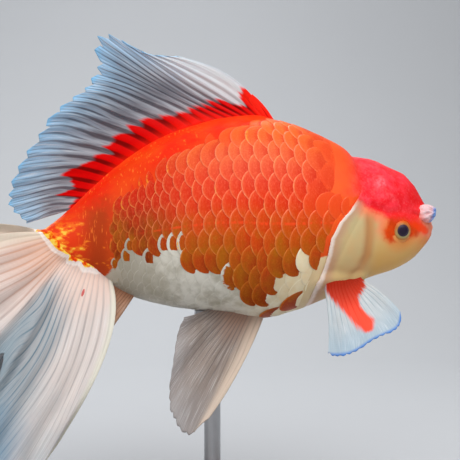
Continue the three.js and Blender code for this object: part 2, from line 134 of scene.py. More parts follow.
GROWTH_EDGE = [(40, 13.2), (46, 12.8), (48.8, 12), (52, 10.4), (56, 9), (60, 7.2), (66, 6.8), (72, 6.2),
               (76, 5.2), (79.5, 5), (95, 8), (95, 60), (40, 60)]
CROWN_HIGHLIGHT = (58, 16.7)  # where the painted highlight on the growth is brightest
RED_HEAD = [(44, 12), (48.8, 10.9), (51.5, 8.6), (55.2, 6.6), (58.1, 5.6), (60, 3.4), (58.4, 0.2), (58.3, -3),
            (60.8, -4.2), (66.2, -3.6), (70.8, -2.6), (74, -1.5), (76.5, -2.3), (80, -2.5), (83, -0.4), (95, 3),
            (95, 60), (40, 60)]
RED_BODY = [(-75, -24), (-47, -24), (-41, -16.8), (-38.2, -14.6), (-35, -10.5), (-32, -6.8), (-28.5, -6.6),
            (-23.3, -5.4), (-14.6, -6), (-9.1, -13.4), (-4, -13.1), (0, -13.2), (1.8, -15.2), (8.3, -24.6),
            (15.7, -22.4), (18.6, -14.5), (20, -11.2), (24.9, -12), (26.3, -7.9), (33.2, -9.3), (37, -8.2),
            (60, -8), (60, 60), (-75, 60)]
RED_BODY_LEFT = [(-75, -24), (-47, -24), (-41, -16.8), (-36, -13), (-30, -13.5), (-24, -8), (-17, -9.5),
                 (-12, -15), (-3, -19), (3, -17), (9, -9), (15, -8.5), (21, -14), (28, -19), (34, -15), (38, -9),
                 (60, -8), (60, 60), (-75, 60)]
LONE_RED = [(-13, -10.4), (25.7, -25.6), (17.1, -29.3)]
LONE_RED_LEFT = [(-19, -14), (20, -26)]
LONE_PALE = [(-20.1, -2.2), (-16, -2.9), (-12.4, -1.9), (-32.3, -5.1), (-24.7, -8.2)]  # pale, round a red middle


# ---------------------------------------------------------------- measuring and shaping

def smooth(value, low, high):
    """0 at low, 1 at high, with a soft start and end; low may be the larger."""
    t = np.clip((np.asarray(value, float) - low) / (high - low), 0, 1)
    return t * t * (3 - 2 * t)


def mix(a, b, amount):
    return a + (b - a) * amount


def near(distance, width, power=2):
    """1 on the spot itself, and next to nothing at twice the width from it."""
    return np.exp(-(distance / width) ** power)


def spline(guides, along):
    """Smooth curve through the guides; along runs from 0 at the first to 1 at the last."""
    g = np.asarray(guides, float)
    spans = len(g) - 1
    g = np.vstack([2 * g[0] - g[1], g, 2 * g[-1] - g[-2]])
    s = np.clip(np.asarray(along, float), 0, 1) * spans
    i = np.minimum(s.astype(int), spans - 1)
    f = (s - i)[..., None]
    a, b, c, d = g[i], g[i + 1], g[i + 2], g[i + 3]
    return 0.5 * (2 * b + (c - a) * f + (2 * a - 5 * b + 4 * c - d) * f ** 2 + (3 * b - 3 * c + d - a) * f ** 3)


def bend(distance, turn):
    """How far ahead, how far aside and how far turned a point lies after the body's curve."""
    angle = turn * np.clip(distance / BEND_LENGTH, 0, 1)
    radius = BEND_LENGTH / turn
    beyond = np.clip(distance - BEND_LENGTH, 0, None)
    ahead = radius * np.sin(angle) + beyond * math.cos(turn)
    aside = radius * (1 - np.cos(angle)) + beyond * math.sin(turn)
    return ahead, aside, angle


def swim(points):
    """The straight fish's points in the pose: the tail swung to its right and the head turned to its left."""
    p = np.asarray(points, float)
    x, y, z = p[..., 0], p[..., 1], p[..., 2]
    back, left_back, turned_back = bend(np.clip(TAIL_FROM - x, 0, None), TAIL_TURN)
    ahead, left_ahead, turned_ahead = bend(np.clip(x - HEAD_FROM, 0, None), HEAD_TURN)
    centre_x = np.clip(x, TAIL_FROM, HEAD_FROM) - back + ahead
    centre_y = left_ahead - left_back
    yaw = turned_back + turned_ahead
    return np.stack([centre_x - y * np.sin(yaw), centre_y + y * np.cos(yaw), z], -1)


def world(points):
    return (swim(points) + (0, 0, AXIS_HEIGHT)) * MM


def body(along, around):
    """A point of the straight body: along is 0 at the mouth and 1 at the tail root, around runs from 0 on the
    back down the right flank, under the belly and up the left one to 1."""
    along, around = np.broadcast_arrays(np.asarray(along, float), np.asarray(around, float))
    back, flank, belly = spline(BACK, along), spline(FLANK, along), spline(BELLY, along)
    sine, cosine = np.sin(TURN * around), np.cos(TURN * around)
    upper = cosine >= 0
    power = 2 / np.where(upper, BACK_ROUNDNESS, BELLY_ROUNDNESS)
    edge = np.where(upper[..., None], back, belly)
    reach = edge[..., 1] - flank[..., 2]
    x = mix(flank[..., 0], edge[..., 0], cosine ** 2)
    y = -np.sign(sine) * flank[..., 1] * np.abs(sine) ** power
    z = flank[..., 2] + reach * np.abs(cosine) ** power
    return np.stack([x, y, z], -1)


def unit(vectors):
    return vectors / np.maximum(np.linalg.norm(vectors, axis=-1, keepdims=True), TINY)


def outwards(along, around, step=0.002):
    """The body's outward direction there."""
    rearwards = body(np.clip(along + step, 0, 1), around) - body(np.clip(along - step, 0, 1), around)
    downwards = body(along, around + step) - body(along, around - step)
    return unit(np.cross(rearwards, downwards))


def line_distance(points, line):
    """Distance from points to an open line, in as many dimensions as both have."""
    line = np.asarray(line, float)
    nearest = np.full(points.shape[:-1], np.inf)
    for a, b in zip(line[:-1], line[1:]):
        t = np.clip(((points - a) @ (b - a)) / max((b - a) @ (b - a), TINY), 0, 1)
        nearest = np.minimum(nearest, np.linalg.norm(points - a - t[..., None] * (b - a), axis=-1))
    return nearest


def depth_inside(points, outline):
    """Distance from a closed outline in x and z: positive inside, negative outside."""
    x, z = points[..., 0], points[..., 1]
    inside = np.zeros(x.shape, bool)
    corners = np.asarray(list(outline) + [outline[0]], float)
    for (ax, az), (bx, bz) in zip(corners[:-1], corners[1:]):
        if az != bz:
            inside ^= ((az > z) != (bz > z)) & (x < (bx - ax) * (z - az) / (bz - az) + ax)
    return np.where(inside, 1, -1) * line_distance(points, corners)


def cell_random(cells, seed):
    """A number from 0 to 1 that belongs to each whole-numbered cell; large odd factors stir the cells well."""
    n = cells[..., 0] * 73856093 + cells[..., 1] * 19349663 + cells[..., 2] * 83492791 + seed * 7919
    n = ((n ^ (n >> 13)) * 1274126177) & 0x7FFFFFFF
    n = ((n ^ (n >> 15)) * 668265263) & 0x7FFFFFFF
    return ((n ^ (n >> 11)) & 0xFFFF) / 65535


def cloud(points, size, seed):
    """Soft random unevenness from -1 to 1, its humps about size across."""
    p = points / size
    cell = np.floor(p).astype(np.int64)
    f = p - cell
    f = f * f * (3 - 2 * f)
    total = np.zeros(points.shape[:-1])
    for corner in np.ndindex(2, 2, 2):
        weight = np.prod(np.where(corner, f, 1 - f), axis=-1)
        total += weight * cell_random(cell + corner, seed)
    return total * 2 - 1


def cloud_at(x, y, z, size, seed):
    return cloud(np.stack(np.broadcast_arrays(x, y, z), -1), size, seed)


def lumps(points, size, seed):
    """Rounded lumps that press against each other: 1 on their crowns, down to 0 in the creases."""
    p = points / size
    cell = np.floor(p).astype(np.int64)
    nearest = np.full(points.shape[:-1], np.inf)
    second = nearest.copy()
    for corner in np.ndindex(3, 3, 3):
        c = cell + corner - 1
        centre = c + np.stack([cell_random(c, seed + k) for k in range(3)], -1)
        d = np.linalg.norm(p - centre, axis=-1)
        second = np.minimum(second, np.maximum(nearest, d))
        nearest = np.minimum(nearest, d)
    return smooth(second - nearest, -0.1, 0.75) * (1 - 0.45 * np.clip(nearest, 0, 1) ** 2)


# ---------------------------------------------------------------- meshes

def grid_faces(rows, columns, wrapped=False, start=0):
    """Quads between neighbouring points of a grid that is stored row after row."""
    r, c = np.meshgrid(np.arange(rows - 1), np.arange(columns if wrapped else columns - 1), indexing="ij")
    after = (c + 1) % columns
    quads = np.stack([r * columns + c, r * columns + after, (r + 1) * columns + after, (r + 1) * columns + c], -1)
    return (quads.reshape(-1, 4) + start).tolist()


def faced_outwards(points, faces):
    """The same faces, turned round if together they enclose less than nothing."""
    enclosed = 0.0
    for sides in (3, 4):
        corners = np.array([face for face in faces if len(face) == sides])
        for k in range(2, sides if len(corners) else 0):
            a, b, c = (points[corners[:, j]] for j in (0, k - 1, k))
            enclosed += (a * np.cross(b, c)).sum()
    return faces if enclosed > 0 else [face[::-1] for face in faces]


def smooth_mesh(name, points, faces, finish):
    mesh = bpy.data.meshes.new(name)
    mesh.from_pydata(points, [], faces)
    mesh.polygons.foreach_set("use_smooth", np.ones(len(mesh.polygons), bool))
    mesh.materials.append(finish)
    return mesh


def in_scene(name, data):
    """A new object in the scene for a mesh, a lamp or a camera."""
    made = bpy.data.objects.new(name, data)
    bpy.context.scene.collection.objects.link(made)
    return made


def make_piece(name, points, faces, finish, stands_for, marks, patches=None):
    """One mesh from points in metres, with a number for each point under every mark's name.

    patches are places on the piece's own UV sheet, one for each point, where the piece lays them out itself."""
    mesh = smooth_mesh(name, points.tolist(), faced_outwards(points, faces), finish)
    for mark, values in marks.items():
        layer = mesh.attributes.new(mark, "FLOAT", "POINT")
        layer.data.foreach_set("value", np.ascontiguousarray(values, np.float32).ravel())
    if patches is not None:
        loops = np.zeros(len(mesh.loops), np.int32)
        mesh.loops.foreach_get("vertex_index", loops)
        mesh.uv_layers.new(name="OFBake").data.foreach_set("uv", patches[loops].astype(np.float32).ravel())
    mesh.validate()
    mesh.update()
    made = in_scene(name, mesh)
    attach(made, "root")
    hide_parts(*stands_for)


def closed_tube(rings):
    """Points and faces of a tube through the rings, each end closed to its middle."""
    count, sides = rings.shape[:2]
    points = np.vstack([rings.reshape(-1, 3), rings[0].mean(0), rings[-1].mean(0)])
    faces = grid_faces(count, sides, wrapped=True)
    last = (count - 1) * sides
    for k in range(sides):
        after = (k + 1) % sides
        faces.append([after, k, count * sides])
        faces.append([last + k, last + after, count * sides + 1])
    return points, faces


def closed_sheet(front, back):
    """Points and faces of a thin sheet between two grids of points, closed round its edge."""
    rows, columns = front.shape[:2]
    points = np.vstack([front.reshape(-1, 3), back.reshape(-1, 3)])
    count = rows * columns
    faces = grid_faces(rows, columns) + [face[::-1] for face in grid_faces(rows, columns, start=count)]
    index = np.arange(count).reshape(rows, columns)
    edge = list(index[0]) + list(index[1:, -1]) + list(index[-1, -2::-1]) + list(index[-2:0:-1, 0])
    for a, b in zip(edge, edge[1:] + edge[:1]):
        faces.append([int(b), int(a), int(a) + count, int(b) + count])
    return points, faces


# ---------------------------------------------------------------- finishes

def colour(red, green, blue):
    """A colour given from 0 to 255 as it looks, for the shader's sockets."""
    linear = [c / 255 / 12.92 if c <= 10 else ((c / 255 + 0.055) / 1.055) ** 2.4 for c in (red, green, blue)]
    return (*linear, 1.0)


class Tone:
    """A socket that works in arithmetic: each operator adds its Math node."""

    def __init__(self, finish, socket):
        self.finish, self.socket = finish, socket

    def maths(self, operation, *values):
        return self.finish.node("Math", {"operation": operation}, dict(enumerate(values)))

    def __add__(self, other):
        return self.maths("ADD", self, other)

    def __sub__(self, other):
        return self.maths("SUBTRACT", self, other)

    def __rsub__(self, other):
        return self.maths("SUBTRACT", other, self)

    def __mul__(self, other):
        return self.maths("MULTIPLY", self, other)

    def __truediv__(self, other):
        return self.maths("DIVIDE", self, other)

    def __rtruediv__(self, other):
        return self.maths("DIVIDE", other, self)

    __radd__ = __add__
    __rmul__ = __mul__

    def step(self, low, high):
        """0 below low, 1 above high, smooth between; low may be the larger."""
        settings = {"interpolation_type": "SMOOTHSTEP"}
        return self.finish.node("MapRange", settings, {0: self, 1: low, 2: high, 3: 0.0, 4: 1.0})

    def swing(self, size):
        """How far the tone lies over or under a half, times the size."""
        return (self - 0.5) * size

    def wave(self):
        return self.maths("SINE", self)


class Finish:
    """A material under construction round one Principled shader. A colour is a Tone, or red, green and blue."""

    def __init__(self, name, **constants):
        self.material = bpy.data.materials.new(name)
        self.material.use_nodes = True
        self.tree = self.material.node_tree
        self.tree.nodes.clear()
        self.shader = self.tree.nodes.new("ShaderNodeBsdfPrincipled")
        output = self.tree.nodes.new("ShaderNodeOutputMaterial")
        self.tree.links.new(self.shader.outputs[0], output.inputs["Surface"])
        for socket, value in constants.items():
            self.feed(socket.replace("_", " "), value)
        self.place = self.node("TexCoord", output="Object")

    def feed(self, socket, value, node=None):
        target = (node or self.shader).inputs[socket]
        if isinstance(value, Tone):
            self.tree.links.new(value.socket, target)
        else:
            target.default_value = value

    def node(self, kind, settings=None, sockets=None, output=0):
        node = self.tree.nodes.new("ShaderNode" + kind)
        for setting, value in (settings or {}).items():
            if setting == "stops":
                ramp = node.color_ramp.elements
                while len(ramp) < len(value):
                    ramp.new(0.5)
                for element, (place, shade) in zip(ramp, value):
                    element.position, element.color = place, colour(*shade)
            else:
                setattr(node, setting, value)
        for socket, value in (sockets or {}).items():
            self.feed(socket, value, node)
        return Tone(self, node.outputs[output])

    def marks(self, *names):
        return [self.node("Attribute", {"attribute_name": name}, output="Fac") for name in names]

    def mixed(self, amount, first, second):
        first, second = (shade if isinstance(shade, Tone) else colour(*shade) for shade in (first, second))
        return self.node("Mix", {"data_type": "RGBA"}, {0: amount, 6: first, 7: second}, output=2)

    def washed(self, ground, *coats):
        """The ground's colour under coats laid over it in turn, each its amount and its colour."""
        for amount, shade in coats:
            ground = self.mixed(amount, ground, shade)
        return ground

    def noise(self, size, detail, stretch=(1, 1, 1), turned=(0, 0, 0)):
        """Unevenness from 0 to 1 with humps about size across, in millimetres."""
        scale = tuple(s / (size * MM) for s in stretch)
        place = self.node("Mapping", None, {"Vector": self.place, "Rotation": turned, "Scale": scale})
        return self.node("TexNoise", None, {"Vector": place, "Scale": 1.0, "Detail": detail, "Roughness": 0.55})

    def relief(self, height, depth, strength):
        """Bumps the surface; depth in millimetres is what height 1 stands up by."""
        sockets = {"Strength": strength, "Distance": depth * MM, "Height": height}
        self.feed("Normal", self.node("Bump", None, sockets))


# ---------------------------------------------------------------- skin

PITCH_AT = ([-58, -35, -19, 0, 15, 45], [2.4, 2.4, 3.3, 4.25, 4.6, 4.6])  # scale spacing along the body, by x
COAT_SHARE = 0.1  # how high a scale's rear rim stands over its root, as a share of that spacing
FIN_FEET = [(PECTORAL_RIGHT, 3.6, 1.6), (PELVIC_FIN, 3.2, 1.3), (ANAL_FIN, 2.6, 0.9)]  # reach, height of flesh
# rings from the throat out over the lips: x, half width, half height and darkness, which is painted shade deep in
# the mouth
LIPS = [(76, 1.2, 0.8, 1), (79, 2.4, 1.4, 1), (81.2, 2.0, 0.7, 0.8), (82.5, 2.3, 1.1, 0.25), (83.0, 2.8, 1.7, 0),
        (82.8, 3.2, 2.4, 0), (82.3, 3.5, 2.9, 0), (82.0, 3.7, 3.3, 0)]
MOUTH_HEIGHT = -0.8
SIDES = 320  # points of a ring
AROUND = np.arange(SIDES) / SIDES
ROUGH_LENGTH = 150  # of the body, to turn shares of it into millimetres
NO_EYE = 40  # the eye mark's value away from the sides of the head
FIRST_RING = 0.022  # its place along the body, where the lips end
HEAD_RINGS, TRUNK_RINGS = 126, 165  # ahead of the gill covers' rear edge and behind it
TUCK = 0.011  # how far the fold behind a gill cover runs under it, along the body
# rings of that fold: place behind the edge, how far an open gill draws it ahead, lift, how far it is behind
GILL_FOLD = [(0, 0, 0, 0), (0.001, 0.002, -0.45, 0.3), (0.002, TUCK + 0.002, -0.75, 0.6),
             (0.003, TUCK + 0.003, -0.35, 1)]
PLATE_LIFT = 0.3  # of the gill covers' rear edge over the body
EYE_OPENING = 2.95  # half the width of the gap between the lids
EYE_SOCKET = 6.5  # half the width of what the eye shapes
LID_OVER_EYE, SOCKET_DEPTH = 0.08, 1.2  # the skin over the eyeball round the gap, and under it within the gap
TAIL_ROOT_CLOSES = (0.12, 0.4, 0.75)  # how far each of the last rings has closed
TAIL_ROOT_LENGTH = 4.5  # of that rounded end


def along_of(x):
    """How far along the body the flank reaches x."""
    steps = np.linspace(0, 1, 800)
    return np.interp(-np.asarray(x, float), -spline(FLANK, steps)[:, 0], steps)


def gill_edge_x(z):
    edge = np.asarray(GILL_EDGE[::-1], float)
    return np.interp(z, edge[:, 1], edge[:, 0])


def gill_place(around):
    """How far along the body the gill covers' rear edge runs."""
    steps = np.linspace(0.25, 0.75, 500)
    p = body(steps[:, None], around[None, :])
    return steps[np.argmax(p[..., 0] < gill_edge_x(p[..., 2]), axis=0)]


def coat_depth(x):
    return COAT_SHARE * np.interp(x, *PITCH_AT)


def skin_grid():
    """Places of the skin's rings on the body, how far each lies over it, and how far behind the gill edge."""
    side = np.minimum(AROUND, 1 - AROUND)
    gill = gill_place(side)
    open_gill = smooth(side, 0.165, 0.205) * (1 - smooth(side, 0.37, 0.44))
    rows = [(FIRST_RING + (gill - FIRST_RING) * (k / HEAD_RINGS), 0, 0) for k in range(HEAD_RINGS)]
    rows += [(gill + back - ahead * open_gill, lift * open_gill, behind)
             for back, ahead, lift, behind in GILL_FOLD]
    rows += [(gill + 0.004 + (0.996 - gill) * (k / TRUNK_RINGS), 0, 1) for k in range(1, TRUNK_RINGS + 1)]
    along, lift, behind = (np.array([np.broadcast_to(row[k], SIDES) for row in rows], float) for k in range(3))
    around, gill = (np.broadcast_to(values, along.shape) for values in (AROUND, gill))
    return along, around, lift, behind, gill, open_gill


def growth_lumps(p):
    """The swollen growth over the head: broad soft swellings with smaller ones on them."""
    return 0.5 * cloud(p, 6.5, 34) + 0.22 * cloud(p, 3.2, 35) + 0.05 * cloud(p, 1.6, 36)


def skin_features(p, along, around, behind, gill, open_gill):
    """How far the skin stands over the plain body, in millimetres, and the marks painted on it."""
    x, y, z, side_view = p[..., 0], p[..., 1], p[..., 2], p[..., [0, 2]]
    head, on_head = 1 - behind, behind < 0.5
    growth = depth_inside(side_view, GROWTH_EDGE)
    growth += 0.7 * cloud(p, 4.0, 3)
    growth = np.where(on_head | (z > 12), growth, NOWHERE)
    cover = smooth(growth, -0.6, 2.0) * smooth(gill - along, -0.001, 0.022)
    eye = np.linalg.norm(side_view - EYE_CENTRE[[0, 2]], axis=-1)
    eye = np.where(np.abs(y) > 5, eye, NO_EYE)
    near_eye = near(eye, 7.5)
    height = cover * (growth_lumps(p) + 0.35) * (1 - 0.9 * near_eye)
    height -= 0.35 * near(growth + 0.8, 1.1) * on_head * (1 - near_eye) * smooth(gill - along, 0.01, 0.06)
    height -= 0.8 * near(x - 51.2, 2.0) * smooth(z, 14, 22)
    height -= 0.7 * smooth(x, 60, 67) * smooth(z, 5, 11)
    for line, deep, wide in HEAD_GROOVES:
        height -= deep * near(line_distance(side_view, line), wide) * head
    from_flap = np.stack([x, np.abs(y), z], -1) - FLAP_CENTRE + (0, 0.6, 0)
    height += 0.5 * near(np.linalg.norm(from_flap, axis=-1), 3.0)
    height += PLATE_LIFT * smooth(head, 0.5, 1.0) * np.exp(-np.clip(gill - along, 0, 1) / 0.05) * open_gill
    height += 0.102 * cloud(p * (1, 1, 0.5), 9.0, 41) * head * (1 - cover)

    under_coat = smooth((along - gill) / mix(1, 3, smooth(z, 8, 14)), 0.002, 0.03) * (behind > 0.5)
    height -= under_coat * coat_depth(x) * mix(0.4, 1, smooth(x, -44, -34))
    for fin, spread, rise in FIN_FEET:
        for side in (1, -1):
            roots = [np.multiply(ray[0], (1, side, 1)) for ray in fin]
            height += rise * near(line_distance(p, roots), spread, 4)
    ridge = near(np.minimum(around, 1 - around), 0.018)  # the sheath of flesh along the back fin's foot
    height += 1.2 * ridge * smooth(x, 25, 17) * smooth(x, -58, -44)
    height += (cloud(p * (1, 1, 0.6), 14.0, 51) * 0.25 + cloud(p, 5.0, 52) * 0.07) * under_coat

    red_body = np.where(y < 0, depth_inside(side_view, RED_BODY), depth_inside(side_view, RED_BODY_LEFT))
    red_head = depth_inside(side_view, RED_HEAD) - 3 * smooth(eye, 4.6, 3.4) * (z < -1.5)
    ragged = 0.45 * cloud(p, 2.2, 61) + 0.25 * cloud(p, 1.0, 62)
    crown_shine = 0.7 * smooth(cloud(p, 5.5, 37) + 0.4 * cloud(p, 2.4, 38), 0.0, 0.9)
    marks = {
        "red": np.where(behind > 0.5, red_body, red_head) + ragged, "cap": growth, "eye": eye,
        "cheek": line_distance(side_view, CHEEK_GROOVE), "behind_gill": behind,
        "gill_edge": (along - gill) * ROUGH_LENGTH, "high": z, "across": x,
        "snout_spot": line_distance(side_view, SNOUT_LINE),
        # crown places the painted pink highlight on the growth
        "crown": cover * (crown_shine + near(np.linalg.norm(side_view - CROWN_HIGHLIGHT, axis=-1), 1.9)),
    }
    return height, marks


def lidded(flesh):
    """The skin drawn over the eyeballs as lids, and sunk into them where the eyes look out."""
    offset = np.stack([flesh[..., 0], np.abs(flesh[..., 1]), flesh[..., 2]], -1) - EYE_CENTRE
    reach = np.linalg.norm(offset, axis=-1)
    opening = np.linalg.norm(offset[..., [0, 2]], axis=-1)
    rim = 0.2 * smooth(opening, 3.1, 3.8) * smooth(opening, 4.9, 4.0)
    lid = mix(np.maximum(reach, EYE_RADIUS + LID_OVER_EYE + rim), reach, smooth(opening, 4.4, EYE_SOCKET))
    lid = np.where(opening < EYE_OPENING, EYE_RADIUS - SOCKET_DEPTH, lid)
    moved = offset * (lid / np.maximum(reach, TINY))[..., None] + EYE_CENTRE
    moved[..., 1] *= np.sign(flesh[..., 1] + TINY)
    return np.where(((opening < EYE_SOCKET) & (np.abs(flesh[..., 1]) > 6))[..., None], moved, flesh)


def mouth_rings():
    """Rings from the throat out over the lips, which are parted a little."""
    angle = TURN * AROUND
    rings = []
    for x, wide, tall, _ in LIPS:
        parted = 0.35 * (1 - np.cos(2 * angle)) * (wide > 2.5) + 0.5 * (1 - np.cos(angle)) * (wide > 2)
        rings.append(np.stack([x - parted, -wide * np.sin(angle), MOUTH_HEIGHT + tall * np.cos(angle)], -1))
    return np.array(rings)


def skin_rings():
    """The whole skin, from inside the mouth to the root of the tail, with its marks."""
    along, around, lift, behind, gill, open_gill = skin_grid()
    plain = body(along, around)
    height, marks = skin_features(plain, along, around, behind, gill, open_gill)
    flesh = lidded(plain + outwards(along, around) * (height + lift)[..., None])
    mouth, last = mouth_rings(), flesh[-1]
    tail = [mix(last, last.mean(0), k) - (TAIL_ROOT_LENGTH * math.sqrt(k * (2 - k)), 0, -1.5 * k)
            for k in TAIL_ROOT_CLOSES]
    rings = np.concatenate([mouth, flesh, np.array(tail)])
    for name, values in marks.items():
        before, after = np.repeat(values[:1], len(mouth), 0), np.repeat(values[-1:], len(tail), 0)
        marks[name] = np.concatenate([before, values, after])
    marks["mouth"] = np.zeros(rings.shape[:2])
    marks["mouth"][:len(mouth)] = np.array([ring[3] for ring in LIPS])[:, None]
    return rings, marks


# ---------------------------------------------------------------- scales

ROW_SPACING = 1 / 15.5  # between rows of scales, as a share of half the body's girth
LINE_ROW = 0.505  # where the row with the lateral line runs, from the back to the belly
ROWS_OVER, ROWS_UNDER = 7, 8  # that row; the lowest one, along the belly, is laid on the right side only
COAT_FRONT, COAT_REAR = 56.0, -57.0  # x of the first and the last scales, before the coat is cut to shape
SCALE_HALF_WIDTH = 0.97  # in row spacings
SCALE_BEHIND, SCALE_AHEAD = 1.6, 0.75  # reach of a scale behind and ahead of its middle, in scale spacings
SCALE_FLANKS = 0.25  # the same for its two sides, behind the middle
ACROSS, LENGTHWISE = 13, 8  # points of a scale's grid
PATCH_COLUMNS, PATCH_ROWS = 36, 16  # places for single scales on the pieces' UV sheet
SCALES_END = ([-5, 8], [-40.5, -34])  # x behind which the root of the tail is bare skin, by height
BARE_BEHIND_HEAD = ([9, 13], [-4.6, 4])  # how far behind the gill edge the scales begin, by height
FIN_FOOT_LINE = ([-47, -41, -34, -23, -10, 5, 15, 24, 32, 44, 52],
                 [1.0, 6.0, 12.5, 21, 29.5, 35.0, 37.0, 39.5, 60, 60, 60])  # scales stop below it, by x
GIRTH_STEPS, TURN_STEPS = 160, 240  # of the table of girths, along the body and from the back to the belly

girth_along = np.linspace(0, 1, GIRTH_STEPS + 1)
girth_turns = np.linspace(0, 0.5, TURN_STEPS + 1)
girth_points = body(girth_along[:, None], girth_turns[None, :])
girth_lengths = np.linalg.norm(np.diff(girth_points, axis=1), axis=-1)
girth_reached = np.concatenate([np.zeros((GIRTH_STEPS + 1, 1)), np.cumsum(girth_lengths, axis=1)], axis=1)


def half_girth(along):
    return np.interp(along, girth_along, girth_reached[:, -1])


def turn_of(along, down):
    """How far round the body a share of its half girth comes, measured on the skin from the back."""
    along, down = np.broadcast_arrays(along, down)
    place = np.clip(along, 0, 1) * GIRTH_STEPS
    low = np.minimum(place.astype(int), GIRTH_STEPS - 1)
    share = girth_reached / girth_reached[:, -1:]
    found = []
    for ring in (low, low + 1):
        rows = share[ring.ravel()]
        wanted = np.clip(down, 0, 1).ravel()
        after = np.clip((rows < wanted[:, None]).sum(1), 1, TURN_STEPS)
        a, b = rows[np.arange(len(rows)), after - 1], rows[np.arange(len(rows)), after]
        turns = (after - 1 + (wanted - a) / np.maximum(b - a, TINY)) / (2 * TURN_STEPS)
        found.append(turns.reshape(down.shape))
    return mix(found[0], found[1], place - low)


def scale_roots():
    """The middle of each scale of one side: x on the flank, share of the half girth, spacing, row and column."""
    columns = [COAT_FRONT]
    while columns[-1] > COAT_REAR:
        columns.append(columns[-1] - np.interp(columns[-1], *PITCH_AT))
    roots = []
    for column, x in enumerate(columns):
        pitch = float(np.interp(x, *PITCH_AT))
        for row in range(-ROWS_OVER, ROWS_UNDER + 1):
            roots.append((x - (pitch / 2 if row % 2 else 0), LINE_ROW + row * ROW_SPACING, pitch, row, column))
    return np.array(roots)


def scale_red(side, shown, scatter):
    """How red each scale is, over 0 if it is red, by its place in the pattern with its own scatter."""
    own_red = depth_inside(shown, RED_BODY if side < 0 else RED_BODY_LEFT) + scatter
    for spots, value in ((LONE_RED, 2.5), (LONE_PALE, 0.45)) if side < 0 else ((LONE_RED_LEFT, 2.5),):
        for spot in spots:
            own_red[np.argmin(np.linalg.norm(shown - spot, axis=-1))] = value
    return np.where(np.abs(own_red - 0.1) < 0.4, np.where(own_red < 0.1, -0.3, 0.5), own_red)


